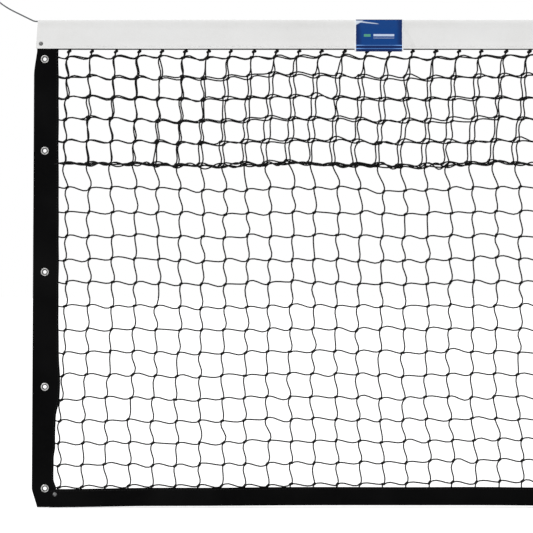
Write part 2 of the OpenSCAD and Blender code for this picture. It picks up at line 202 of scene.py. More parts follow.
@dataclass
class Skin:
    """The faces of one piece, gathered part by part as whole arrays."""

    points: list[Array] = field(default_factory=list)
    corners: list[Array] = field(default_factory=list)
    counts: list[Array] = field(default_factory=list)
    uvs: list[Array] = field(default_factory=list)
    total: int = 0

    def add(self, points: Array, *parts: tuple[Array, Array]) -> None:
        """Adds points, and faces on them.

        Args:
            points: places, (..., 3).
            parts: pairs of faces as point numbers, (F, K), and their corners' UVs, (F, K, 2).
        """
        points = points.reshape(-1, 3)
        for faces, uv in parts:
            self.corners.append((faces + self.total).ravel())
            self.counts.append(np.full(len(faces), faces.shape[1]))
            self.uvs.append(uv.reshape(-1, 2))
        self.points.append(points)
        self.total += len(points)

    def add_tubes(
        self,
        lines: Array,
        radius: float | Array,
        sides: int = 5,
        across: Array | tuple[float, float, float] = (0.0, 1.0, 0.0),
    ) -> None:
        """Adds closed round tubes along many lines.

        At a point of a line with direction t, the ring is the point plus the radius times
        (cos a) s + (sin a) (s x t), where s is t x across made one long, for equal steps of
        the angle a. UV is the length along the line, shifted from line to line, and the turn
        round it.

        Args:
            lines: points, (N, R, 3).
            radius: one radius, or one for each ring.
            sides: number of points on a ring.
            across: a direction that no line follows, one for all or (N, 1, 3).
        """
        count, rings, _ = lines.shape
        along = np.gradient(lines, axis=1)
        along /= np.linalg.norm(along, axis=2, keepdims=True)
        side = np.cross(along, np.asarray(across, float))
        side /= np.linalg.norm(side, axis=2, keepdims=True)
        up = np.cross(side, along)
        angle = 2 * math.pi * np.arange(sides) / sides
        spoke = (
            side[:, :, None] * np.cos(angle)[:, None] + up[:, :, None] * np.sin(angle)[:, None]
        )
        size = np.broadcast_to(np.asarray(radius, float), (count, rings))
        points = lines[:, :, None] + size[:, :, None, None] * spoke
        number = np.arange(count * rings * sides).reshape(count, rings, sides)
        step = np.linalg.norm(np.diff(lines, axis=1), axis=2)
        way = np.concatenate([np.zeros((count, 1)), np.cumsum(step, axis=1)], axis=1)
        way = way + TUBE_SHIFT * np.arange(count)[:, None]
        uv = strip_uvs(way, np.arange(sides + 1) / sides)
        ends = np.concatenate([number[:, 0], number[:, -1, ::-1]])
        quads = strips(number[:, :-1], number[:, 1:])
        self.add(points, (quads, uv), (ends, np.zeros((len(ends), sides, 2))))

    def add_stitches(self, lines: Array) -> None:
        """Adds stitches of three points each, thick in the middle, along lines, (N, 3, 3)."""
        self.add_tubes(lines, THREAD_RADIUS * np.array(THREAD_SWELL), 4)

    def add_rings(self, profile: Array, places: Array, sides: int = 28) -> None:
        """Adds closed rings turned about lines along Y.

        A ring's points are (x + r cos a, y, z + r sin a) for each point (r, y) of the profile
        and equal steps of the angle a. UV is the length round the outer edge and the way
        along the profile.

        Args:
            profile: closed outline as radius and depth, from the back of the outer edge over the
                front to the hole, (P, 2).
            places: each ring's x and z, (N, 2).
            sides: number of steps round.
        """
        reach, depth = profile.T
        angle = 2 * math.pi * np.arange(sides)[:, None] / sides
        x = places[:, 0, None, None] + reach * np.cos(angle)
        z = places[:, 1, None, None] + reach * np.sin(angle)
        points = np.stack(np.broadcast_arrays(x, depth, z), -1)
        number = np.arange(x.size).reshape(x.shape)
        step = np.linalg.norm(np.roll(profile, -1, 0) - profile, axis=1)
        way = np.concatenate([[0], np.cumsum(step)])
        round_edge = np.linspace(0, 2 * math.pi * reach.max(), sides + 1)
        uv = strip_uvs(np.tile(round_edge, (len(places), 1)), way)
        self.add(points, (strips(number, np.roll(number, -1, 1)), uv))

    def add_shell(
        self, middle: Array, thickness: float, uv: Array, keep: Array | None = None
    ) -> None:
        """Adds a sheet with a thickness, closed at its edges and round its holes.

        The two faces lie half the thickness to each side of the middle grid, along the cross
        product of its row and column directions, and a wall joins them along each grid edge
        that has a kept cell on one side only.

        Args:
            middle: grid of points, (R, C, 3), whose row direction crossed with its column
                direction points outwards.
            thickness: the sheet's thickness.
            uv: grid of UVs, (R, C, 2).
            keep: cells that are there, (R - 1, C - 1), or None for all of them.
        """
        rows, columns, _ = middle.shape
        if keep is None:
            keep = np.ones((rows - 1, columns - 1), bool)
        offset = thickness / 2 * normals(middle)
        points = np.stack([middle + offset, middle - offset])
        number = np.arange(rows * columns).reshape(rows, columns)
        under = rows * columns
        flat = uv.reshape(-1, 2)
        front = np.stack([number[:-1, :-1], number[1:, :-1], number[1:, 1:], number[:-1, 1:]], -1)
        front = front[keep]
        padded = np.pad(keep, 1)
        before, after = padded[1:-1, :-1], padded[1:-1, 1:]
        low, high = number[:-1], number[1:]
        edges = [
            (low[after & ~before], high[after & ~before]),
            (high[before & ~after], low[before & ~after]),
        ]
        above, below = padded[:-1, 1:-1], padded[1:, 1:-1]
        low, high = number[:, :-1], number[:, 1:]
        edges += [
            (low[above & ~below], high[above & ~below]),
            (high[below & ~above], low[below & ~above]),
        ]
        p = np.concatenate([edge[0] for edge in edges])
        q = np.concatenate([edge[1] for edge in edges])
        wall = np.stack([q, p, p + under, q + under], -1)
        back = front[:, ::-1]
        self.add(
            points, (front, flat[front]), (back + under, flat[back]), (wall, flat[wall % under])
        )

    def build(self, name: str, material: bpy.types.Material, slot: str) -> bpy.types.Object:
        """Makes the piece, at the origin, with its place in its mesh.

        Args:
            name: the piece's name.
            material: its finish.
            slot: not used.

        Returns:
            The new object.
        """
        used, corners = np.unique(np.concatenate(self.corners), return_inverse=True)
        points = np.concatenate(self.points)[used]
        counts = np.concatenate(self.counts)
        mesh = bpy.data.meshes.new(name)
        mesh.vertices.add(len(points))
        mesh.vertices.foreach_set("co", points.astype(np.float32).ravel())
        mesh.loops.add(len(corners))
        mesh.loops.foreach_set("vertex_index", corners.astype(np.int32).ravel())
        mesh.polygons.add(len(counts))
        starts = np.concatenate([[0], np.cumsum(counts)[:-1]]).astype(np.int32)
        mesh.polygons.foreach_set("loop_start", starts)
        mesh.polygons.foreach_set("use_smooth", np.ones(len(counts), bool))
        layer = mesh.uv_layers.new(name="UVMap")
        layer.data.foreach_set("uv", np.concatenate(self.uvs).astype(np.float32).ravel())
        mesh.update(calc_edges=True)
        mesh.validate()
        mesh.set_sharp_from_angle(angle=SHARP_EDGE)
        mesh.materials.append(material)
        piece = bpy.data.objects.new(name, mesh)
        bpy.context.scene.collection.objects.link(piece)
        return piece


def normals(grid: Array) -> Array:
    """Unit normals of a point grid: the row direction crossed with the column direction."""
    normal = np.cross(np.gradient(grid, axis=0), np.gradient(grid, axis=1))
    return normal / np.maximum(np.linalg.norm(normal, axis=2, keepdims=True), 1e-12)


# Finishes


class Graph:
    """Adds nodes to one node tree, taking numbers, colours and sockets alike."""

    def __init__(self, tree: bpy.types.NodeTree) -> None:
        """Keeps the tree."""
        self.tree = tree

    def fill(self, node: bpy.types.Node, inputs: dict) -> None:
        """Gives inputs of a node, by name or number, their numbers, colours or links."""
        for key, value in inputs.items():
            socket = node.inputs[key]
            if isinstance(value, bpy.types.NodeSocket):
                self.tree.links.new(value, socket)
            elif socket.type == "RGBA":
                socket.default_value = (*value, 1.0)
            else:
                socket.default_value = value

    def add(self, kind: str, inputs: dict | None = None, **settings: object) -> bpy.types.Node:
        """Adds one node.

        Args:
            kind: the node's type name.
            inputs: values or sockets by input name or number.
            settings: the node's own properties.

        Returns:
            The node.
        """
        node = self.tree.nodes.new(kind)
        for key, value in settings.items():
            setattr(node, key, value)
        self.fill(node, inputs or {})
        return node

    def math(self, operation: str, a: object, b: object = 0.0) -> bpy.types.NodeSocket:
        """The result of one Math node."""
        return self.add("ShaderNodeMath", {0: a, 1: b}, operation=operation).outputs[0]

    def times(self, first: object, *others: object) -> bpy.types.NodeSocket:
        """The product of all the values."""
        for other in others:
            first = self.math("MULTIPLY", first, other)
        return first

    def plus(self, first: object, *others: object) -> bpy.types.NodeSocket:
        """The sum of all the values."""
        for other in others:
            first = self.math("ADD", first, other)
        return first

    def mix(self, share: object, a: object, b: object) -> bpy.types.NodeSocket:
        """The colour between a and b at that share."""
        inputs = {"Factor": share, 6: a, 7: b}
        return self.add("ShaderNodeMix", inputs, data_type="RGBA").outputs[2]

    def noise(self, vector: object, scale: float, detail: float = 3.0) -> bpy.types.NodeSocket:
        """The value of one Noise Texture."""
        inputs = {"Vector": vector, "Scale": scale, "Detail": detail}
        return self.add("ShaderNodeTexNoise", inputs).outputs["Fac"]

    def band(self, value: object, low: float, high: float) -> bpy.types.NodeSocket:
        """Rises smoothly from 0 at low to 1 at high."""
        inputs = {"Value": value, "From Min": low, "From Max": high}
        node = self.add("ShaderNodeMapRange", inputs, interpolation_type="SMOOTHSTEP")
        return node.outputs["Result"]

    def hill(self, value: object, stops: tuple[float, ...]) -> bpy.types.NodeSocket:
        """Rises from 0 to 1 over the first two of four stops, and falls over the last two."""
        rise = self.band(value, stops[0], stops[1])
        return self.times(rise, self.band(value, stops[3], stops[2]))

    def wave(self, value: object, turns: object) -> bpy.types.NodeSocket:
        """The sine of 2 pi times value times turns."""
        return self.math("SINE", self.times(value, turns, 2 * math.pi))

    def relief(self, height: object, deep: float, share: float) -> bpy.types.NodeSocket:
        """The normal that a height gives, through a Bump node of that depth and strength."""
        inputs = {"Strength": share, "Distance": deep, "Height": height}
        return self.add("ShaderNodeBump", inputs).outputs[0]

    def uv(self) -> tuple[bpy.types.NodeSocket, bpy.types.NodeSocket]:
        """The two parts of the surface's own UV."""
        place = self.add("ShaderNodeTexCoord").outputs["UV"]
        parts = self.add("ShaderNodeSeparateXYZ", {0: place})
        return parts.outputs[0], parts.outputs[1]

    def place(self) -> bpy.types.NodeSocket:
        """The Object coordinates."""
        return self.add("ShaderNodeTexCoord").outputs["Object"]


class Pattern(Enum):
    """The node groups that several finishes share."""

    WEAVE = "woven_cloth"
    STRANDS = "laid_strands"
    TARNISH = "tarnished_metal"

    def start(
        self, inputs: dict[str, object], outputs: tuple[str, ...]
    ) -> tuple[Graph, dict[str, bpy.types.NodeSocket], bpy.types.Node]:
        """Starts the node group with named inputs and outputs.

        Args:
            inputs: the default of each input, a number or a colour, by name.
            outputs: names of the outputs, of which Color is a colour.

        Returns:
            The group's graph, its given sockets by name, and its output node.
        """
        kinds = {True: "NodeSocketColor", False: "NodeSocketFloat"}
        tree = bpy.data.node_groups.new(self.value, "ShaderNodeTree")
        for name, value in inputs.items():
            color = isinstance(value, tuple)
            socket = tree.interface.new_socket(name, in_out="INPUT", socket_type=kinds[color])
            socket.default_value = (*value, 1.0) if color else value
        for name in outputs:
            tree.interface.new_socket(name, in_out="OUTPUT", socket_type=kinds[name == "Color"])
        graph = Graph(tree)
        given = graph.add("NodeGroupInput").outputs
        return graph, {name: given[name] for name in inputs}, graph.add("NodeGroupOutput")

    def place(self, graph: Graph, values: dict[str, object]) -> dict[str, bpy.types.NodeSocket]:
        """Places the group in a material, with its own values, and gives its outputs by name."""
        tree = bpy.data.node_groups[self.value]
        node = graph.add("ShaderNodeGroup", node_tree=tree)
        graph.fill(node, values)
        return {socket.name: socket for socket in node.outputs}


def weave_group() -> None:
    """Plain-woven cloth: its height is the product of two sines, one along each thread
    direction of the UV, with soft soiling over it and painted shade in its hollows."""
    inputs = {"Cloth": (0.8, 0.8, 0.8), "Soil": (0.5, 0.5, 0.5), "Threads": 900.0}
    inputs |= {"Soiling": 0.3, "Dullness": 0.6}
    graph, given, out = Pattern.WEAVE.start(inputs, ("Color", "Roughness", "Height"))
    u, v = graph.uv()
    weave = graph.times(graph.wave(u, given["Threads"]), graph.wave(v, given["Threads"]))
    broad, fine = graph.noise(graph.place(), 7.0, 4.0), graph.noise(graph.place(), 90.0, 3.0)
    soil = graph.band(graph.plus(broad, graph.times(fine, 0.25)), 0.5, 0.85)
    tint = graph.mix(graph.times(soil, given["Soiling"]), given["Cloth"], given["Soil"])
    # Painted shade: the weave's low places are darkened towards black, by up to 0.06.
    painted_hollow_shade = graph.times(graph.math("SUBTRACT", 1.0, weave), 0.06)
    speckle = graph.times(graph.math("SUBTRACT", fine, 0.5), 0.3)
    color = graph.mix(painted_hollow_shade, tint, (0.0, 0.0, 0.0))
    height = graph.plus(graph.times(weave, 0.5), graph.times(fine, 0.8))
    rough = graph.plus(given["Dullness"], speckle)
    graph.fill(out, {"Color": color, "Roughness": rough, "Height": height})


def strand_group() -> None:
    """Laid or braided cord: strands run round the cord as slanted sine bands of the UV, the
    second set crossing the first by the share that Braid says, and their ridges are rubbed paler."""
    inputs = {"Fibre": (0.02, 0.02, 0.02), "Worn": (0.08, 0.08, 0.08), "Lay": 200.0}
    inputs |= {"Strands": 4.0, "Braid": 1.0, "Fuzz": 0.3}
    graph, given, out = Pattern.STRANDS.start(inputs, ("Color", "Height"))
    u, v = graph.uv()
    run, turn = graph.times(u, given["Lay"]), graph.times(v, given["Strands"])
    one = graph.math("ABSOLUTE", graph.wave(graph.plus(run, turn), 0.5))
    two = graph.math("ABSOLUTE", graph.wave(graph.math("SUBTRACT", run, turn), 0.5))
    ridge = graph.math("MAXIMUM", one, graph.times(two, given["Braid"]))
    fibre = graph.noise(graph.place(), 900.0, 2.0)
    wear = graph.times(graph.band(ridge, 0.6, 1.0), graph.band(fibre, 0.35, 0.8), given["Fuzz"])
    color = graph.mix(wear, given["Fibre"], given["Worn"])
    graph.fill(out, {"Color": color, "Height": graph.plus(ridge, graph.times(fibre, 0.35))})


def tarnish_group() -> None:
    """Handled metal: dull patches from broad noise, and fine rubbing marks stretched along Z."""
    inputs = {"Metal": (0.7, 0.7, 0.7), "Dull": (0.35, 0.34, 0.32), "Patches": 0.5}
    inputs |= {"Polish": 0.25}
    graph, given, out = Pattern.TARNISH.start(inputs, ("Color", "Roughness", "Height"))
    place = graph.place()
    patch = graph.band(graph.noise(place, 260.0, 4.0), 0.45, 0.7)
    mapping = graph.add("ShaderNodeMapping", {"Vector": place, "Scale": (1.0, 1.0, 0.12)})
    marks = graph.noise(mapping.outputs[0], 2600.0, 2.0)
    share = graph.times(patch, given["Patches"])
    color = graph.mix(share, given["Metal"], given["Dull"])
    rough = graph.plus(given["Polish"], graph.times(share, 0.3), graph.times(marks, 0.12))
    height = graph.plus(marks, graph.times(patch, 0.4))
    graph.fill(out, {"Color": color, "Roughness": rough, "Height": height})


def new_material(name: str) -> tuple[bpy.types.Material, Graph, bpy.types.Node]:
    """An empty material with its graph and its Principled shader, which is joined to the output.

    Args:
        name: the material's name.

    Returns:
        The material, the graph and the shader node.
    """
    material = bpy.data.materials.new(name)
    material.use_nodes = True
    material.node_tree.nodes.clear()
    graph = Graph(material.node_tree)
    shader = graph.add("ShaderNodeBsdfPrincipled")
    graph.add("ShaderNodeOutputMaterial", {"Surface": shader.outputs[0]})
    return material, graph, shader


def patterned(
    name: str,
    pattern: Pattern,
    values: dict[str, object],
    plain: dict[str, float],
    deep: float,
    share: float,
) -> bpy.types.Material:
    """Builds a material from one of the shared groups.

    Args:
        name: the material's name.
        pattern: the group.
        values: the group's inputs by name.
        plain: constants of the shader by name.
        deep: depth of the relief.
        share: strength of the relief.

    Returns:
        The material.
    """
    material, graph, shader = new_material(name)
    made = pattern.place(graph, values)
    links = {"Base Color": made["Color"], "Normal": graph.relief(made["Height"], deep, share)}
    if "Roughness" in made:
        links["Roughness"] = made["Roughness"]
    graph.fill(shader, plain | links)
    return material


@dataclass(frozen=True)
class Cloth:
    """Woven or coated cloth."""

    name: str
    color: Color
    soil: Color
    threads: float
    soiling: float
    dullness: float
    sheen: float = 0.0
    depth: float = 0.15 * MM
    shine: float = 0.3

    def make(self) -> bpy.types.Material:
        """Builds the material."""
        values = {"Cloth": self.color, "Soil": self.soil, "Threads": self.threads}
        values |= {"Soiling": self.soiling, "Dullness": self.dullness}
        plain = {"Sheen Weight": self.sheen, "Specular IOR Level": self.shine}
        return patterned(self.name, Pattern.WEAVE, values, plain, self.depth, 0.5)


@dataclass(frozen=True)
class Cord:
    """Twine, cord, sewing thread or coated rope."""

    name: str
    color: Color
    worn: Color
    lay: float
    strands: float
    braid: float = 1.0
    fuzz: float = 0.3
    rough: float = 0.6
    shine: float = 0.3
    depth: float = 0.25 * MM
    coat: float = 0.0

    def make(self) -> bpy.types.Material:
        """Builds the material."""
        values = {"Fibre": self.color, "Worn": self.worn, "Lay": self.lay}
        values |= {"Strands": self.strands, "Braid": self.braid, "Fuzz": self.fuzz}
        plain = {"Roughness": self.rough, "Specular IOR Level": self.shine}
        plain |= {"Coat Weight": self.coat, "Coat Roughness": 0.25}
        return patterned(self.name, Pattern.STRANDS, values, plain, self.depth, 0.7)


@dataclass(frozen=True)
class Metal:
    """Plated, pressed or drawn metal."""

    name: str
    color: Color
    dull: Color
    patches: float
    polish: float

    def values(self) -> dict[str, object]:
        """The inputs of the shared group."""
        shades = {"Metal": self.color, "Dull": self.dull}
        return shades | {"Patches": self.patches, "Polish": self.polish}

    def make(self) -> bpy.types.Material:
        """Builds the material."""
        metal = {"Metallic": 1.0}
        return patterned(self.name, Pattern.TARNISH, self.values(), metal, 0.04 * MM, 0.3)


@dataclass(frozen=True)
class RolledRim(Metal):
    """Plated metal ring, bright on its crest by a painted highlight and darkened by painted shade in its throat
    and under its edge.

    The way along the ring's outline is the second part of its UV, and each part's stops are
    where it begins, is full, is full no longer and ends.
    """

    # Painted shade: the colour of the ring away from its crest and throat.
    dark: Color = (0.06, 0.06, 0.058)
    crest: tuple[float, ...] = (0.0, 0.8 * MM, 2.6 * MM, 3.5 * MM)
    throat: tuple[float, ...] = (5.5 * MM, 6.3 * MM, 8.2 * MM, 9.0 * MM)
    throat_share: float = 0.55

    def make(self) -> bpy.types.Material:
        """Builds the material."""
        material, graph, shader = new_material(self.name)
        made = Pattern.TARNISH.place(graph, self.values())
        _, way = graph.uv()
        # Painted highlight: full on the crest and partly in the throat; the rest keeps the painted shade colour.
        lip = graph.times(graph.hill(way, self.throat), self.throat_share)
        share = graph.math("MAXIMUM", graph.hill(way, self.crest), lip)
        links = {"Base Color": graph.mix(share, self.dark, made["Color"])}
        links |= {"Roughness": made["Roughness"]}
        links |= {"Normal": graph.relief(made["Height"], 0.05 * MM, 0.4)}
        graph.fill(shader, {"Metallic": 1.0} | links)
        return material


@dataclass(frozen=True)
class Print:
    """Glossy printed vinyl: blue, darker at its ends and below, with two pale lines near the
    lower edge, a row of plain bars, a navy line at the fold, and a painted highlight on an
    upper corner and on a streak from it. All is laid out in the UV, and the lines and bars are in millimetres."""

    name: str
    width: float
    blue: Color = (0.0, 0.044, 0.205)
    navy: Color = (0.0, 0.012, 0.085)
    pale: Color = (0.2, 0.42, 0.86)
    # Colour of the painted highlight on the upper corner and the streak.
    worn: Color = (0.72, 0.8, 0.9)
    front_top: float = 66 * MM
    soft: float = 0.3
    dark_lines: tuple[tuple[float, float], ...] = ((0.0, 5.2), (7.2, 12.0))
    pale_lines: tuple[tuple[float, float], ...] = ((5.2, 7.2), (12.0, 14.2))
    fold_line: tuple[float, float] = (67.2, 73.5)
    bars: tuple[tuple[float, float, float, float, Color], ...] = (
        (17, 32, 32, 38, (0.08, 0.3, 0.2)),
        (38, 84, 33, 38, (0.5, 0.58, 0.74)),
        (38, 84, 28.7, 29.8, (0.5, 0.58, 0.74)),
    )

    def make(self) -> bpy.types.Material:
        """Builds the material."""
        material, graph, shader = new_material(self.name)
        u, v = graph.uv()
        off = graph.math("ABSOLUTE", graph.math("SUBTRACT", u, self.width / 2))
        cloud = graph.noise(graph.place(), 35.0, 3.0)
        end = graph.band(graph.plus(off, graph.times(cloud, 8 * MM)), 40 * MM, 52 * MM)
        color = graph.mix(graph.times(end, 0.75), self.blue, self.navy)
        for low, high in self.dark_lines:
            color = graph.mix(self.line(graph, v, low, high), color, self.navy)
        glow = graph.plus(graph.times(graph.band(off, 26 * MM, 50 * MM), 0.6), 0.3)
        for low, high in self.pale_lines:
            share = graph.times(self.line(graph, v, low, high), glow)
            color = graph.mix(share, color, self.pale)
        for left, right, low, high, tint in self.bars:
            bar = graph.times(self.line(graph, u, left, right), self.line(graph, v, low, high))
            color = graph.mix(bar, color, tint)
        color = graph.mix(self.line(graph, v, *self.fold_line), color, self.navy)
        # Painted highlight: the upper corner and the streak are mixed towards a pale blue-white.
        color = graph.mix(graph.times(self.wear(graph, u, v, cloud), 0.85), color, self.worn)
        plain = {"Roughness": 0.3, "Specular IOR Level": 0.1}
        plain |= {"Coat Weight": 0.12, "Coat Roughness": 0.1}
        links = {"Base Color": color, "Normal": graph.relief(cloud, 0.4 * MM, 0.5)}
        graph.fill(shader, plain | links)
        return material

    def line(self, graph: Graph, value: object, low: float, high: float) -> bpy.types.NodeSocket:
        """1 between two distances, with soft edges."""
        stops = np.array([low, low + self.soft, high - self.soft, high]) * MM
        return graph.hill(value, tuple(stops.tolist()))

    def wear(self, graph: Graph, u: object, v: object, cloud: object) -> bpy.types.NodeSocket:
        """How much painted highlight lies on the front: an upper corner behind a ragged slanted line,
        and a streak that leaves it and thins out."""
        down = graph.math("SUBTRACT", self.front_top, v)
        corner = graph.plus(u, graph.times(down, 1.9), graph.times(cloud, 7 * MM))
        streak = graph.math("ABSOLUTE", graph.math("SUBTRACT", down, graph.times(u, 0.11)))
        streak = graph.band(graph.plus(streak, graph.times(u, 0.02)), 2.2 * MM, 1.4 * MM)
        streak = graph.times(streak, graph.band(u, 52 * MM, 44 * MM), 0.75)
        # The painted highlight's share, the larger of the corner's and the streak's.
        gone = graph.math("MAXIMUM", graph.band(corner, 19 * MM, 15 * MM), streak)
        return graph.times(gone, graph.band(v, self.front_top + 1.5 * MM, self.front_top))


@dataclass(frozen=True)
class Palette:
    """Every finish of the net, made once."""

    headband: Cloth = Cloth(
        "headband_canvas",
        (0.78, 0.78, 0.775),
        (0.55, 0.53, 0.49),
        threads=700.0,
        soiling=0.12,
        dullness=0.62,
        sheen=0.1,
    )
    tape: Cloth = Cloth(
        "tape_webbing",
        (0.0018, 0.0018, 0.0019),
        (0.007, 0.007, 0.007),
        threads=520.0,
        soiling=0.4,
        dullness=0.85,
        depth=0.3 * MM,
        shine=0.04,
    )
    backing: Cloth = Cloth(
        "label_backing_vinyl",
        (0.84, 0.86, 0.88),
        (0.6, 0.6, 0.6),
        threads=1500.0,
        soiling=0.1,
        dullness=0.4,
        depth=0.05 * MM,
    )
    label: Print = Print("label_print", 101 * MM)
    twine: Cord = Cord(
        "braided_twine", (0.003, 0.003, 0.0032), (0.022, 0.022, 0.022), 330.0, 4.0, shine=0.1
    )
    border: Cord = Cord(
        "border_cord", (0.003, 0.003, 0.0032), (0.02, 0.02, 0.02), 250.0, 6.0, shine=0.1
    )
    black_thread: Cord = Cord(
        "black_thread", (0.005, 0.005, 0.0055), (0.03, 0.03, 0.03), 900.0, 3.0, 0.0, depth=0.08 * MM
    )
    white_thread: Cord = Cord(
        "white_thread", (0.86, 0.86, 0.85), (0.95, 0.95, 0.94), 900.0, 3.0, 0.0, depth=0.08 * MM
    )
    vinyl: Cord = Cord(
        "cable_vinyl",
        (0.045, 0.053, 0.06),
        (0.1, 0.112, 0.122),
        lay=60.0,
        strands=6.0,
        braid=0.0,
        fuzz=0.25,
        rough=0.35,
        shine=0.5,
        depth=0.12 * MM,
        coat=0.4,
    )
    nickel: Metal = Metal("grommet_nickel", (0.74, 0.73, 0.71), (0.3, 0.29, 0.27), 0.45, 0.22)
    rim: RolledRim = RolledRim("rolled_nickel", (0.5, 0.5, 0.49), (0.14, 0.138, 0.13), 0.85, 0.24)
    rivet: Metal = Metal("rivet_steel", (0.15, 0.15, 0.15), (0.05, 0.05, 0.05), 0.8, 0.45)
    zinc: Metal = Metal("galvanised_steel", (0.55, 0.57, 0.6), (0.33, 0.34, 0.36), 0.8, 0.4)
    sleeve: Metal = Metal("pressed_aluminium", (0.66, 0.66, 0.67), (0.4, 0.4, 0.41), 0.5, 0.35)
    rope: Metal = Metal("rope_steel", (0.5, 0.5, 0.51), (0.25, 0.25, 0.25), 0.6, 0.38)

    def make(self) -> dict[str, bpy.types.Material]:
        """Builds the shared groups and then every material, by field name."""
        weave_group()
        strand_group()
        tarnish_group()
        return {entry.name: getattr(self, entry.name).make() for entry in fields(self)}


def dress_node(node: str, material: bpy.types.Material) -> None:
    """Gives a CAD node that stays a better material."""
    mesh = NODES[node].data
    if not mesh.materials:
        mesh.materials.append(material)
    for number in range(len(mesh.materials)):
        mesh.materials[number] = material


# Sub-assemblies


@dataclass
class Studio:
    """Camera, lights, white surroundings and the floor.

    The camera looks along +Y at the net's left end from far away through a long lens.
    """

    away: float = 9.0
    view_width: float = 1.170
    edge_to_middle: float = 0.5035
    view_low: float = 0.541
    floor_gap: float = 0.6 * MM
    floor_half: float = 60.0

    def build(self) -> None:
        """Makes the camera, the lamps, the world and the floor."""
        low, high = span("headband")
        data = bpy.data.cameras.new("camera")
        data.sensor_width = 36.0
        data.lens = data.sensor_width * self.away / self.view_width
        data.clip_end = 200.0
        camera = bpy.data.objects.new("camera", data)
        middle = low[0] + self.edge_to_middle
        camera.location = (middle, -self.away, high[2] - self.view_low)
        camera.rotation_euler = (math.pi / 2, 0.0, 0.0)
        scene = bpy.context.scene
        scene.collection.objects.link(camera)
        scene.camera = camera
        scene.view_settings.view_transform = "Standard"
        self.light()
        self.surround()
        self.floor(span("bottom_tape")[0][2] - self.floor_gap)

    def light(self) -> None:
        """One broad sun from the front left and a weaker one from the back right."""
        for name, power, angle, turn in (
            ("key", 1.42, 35.0, (0.85, 0.0, -0.55)),
            ("fill", 0.45, 60.0, (0.95, 0.0, 2.5)),
        ):
            lamp = bpy.data.lights.new(name, "SUN")
            lamp.energy = power
            lamp.angle = math.radians(angle)
            holder = bpy.data.objects.new(name, lamp)
            holder.rotation_euler = turn
            bpy.context.scene.collection.objects.link(holder)

    def surround(self) -> None:
        """A world that lights softly and looks white to the eye and in shiny metal."""
        world = bpy.data.worlds.new("world")
        bpy.context.scene.world = world
        world.use_nodes = True
        world.node_tree.nodes.clear()
        graph = Graph(world.node_tree)
        plain = graph.add("ShaderNodeBackground", {"Color": (1.0, 1.0, 1.0), "Strength": 0.68})
        white = graph.add("ShaderNodeBackground", {"Color": (1.0, 1.0, 1.0), "Strength": 1.0})
        shaders = {0: seen(graph), 1: plain.outputs[0], 2: white.outputs[0]}
        mixed = graph.add("ShaderNodeMixShader", shaders)
        graph.add("ShaderNodeOutputWorld", {"Surface": mixed.outputs[0]})

    def floor(self, height: float) -> None:
        """A wide pale floor that looks white but keeps a soft shadow."""
        material, graph, shader = new_material("floor_white")
        speck = graph.times(graph.noise(graph.place(), 3.0, 2.0), 0.05)
        look = {"Base Color": graph.mix(speck, (0.82, 0.82, 0.82), (0.75, 0.75, 0.75))}
        look |= {"Roughness": 0.9, "Specular IOR Level": 0.0, "Emission Color": (1.0, 1.0, 1.0)}
        look |= {"Emission Strength": graph.times(seen(graph), 0.42)}
        graph.fill(shader, look)
        mesh = bpy.data.meshes.new("floor")
        half = self.floor_half
        corners = [(-half, -half), (half, -half), (half, half), (-half, half)]
        mesh.from_pydata([(*corner, height) for corner in corners], [], [(0, 1, 2, 3)])
        mesh.materials.append(material)
        piece = bpy.data.objects.new("floor", mesh)
        bpy.context.scene.collection.objects.link(piece)


def seen(graph: Graph) -> bpy.types.NodeSocket:
    """1 for a ray from the eye, a mirror or glass, and 0 for one that only lights."""
    path = graph.add("ShaderNodeLightPath")
    kinds = [path.outputs[f"Is {kind} Ray"] for kind in ("Camera", "Glossy", "Transmission")]
    return graph.math("MINIMUM", graph.plus(*kinds), 1.0)


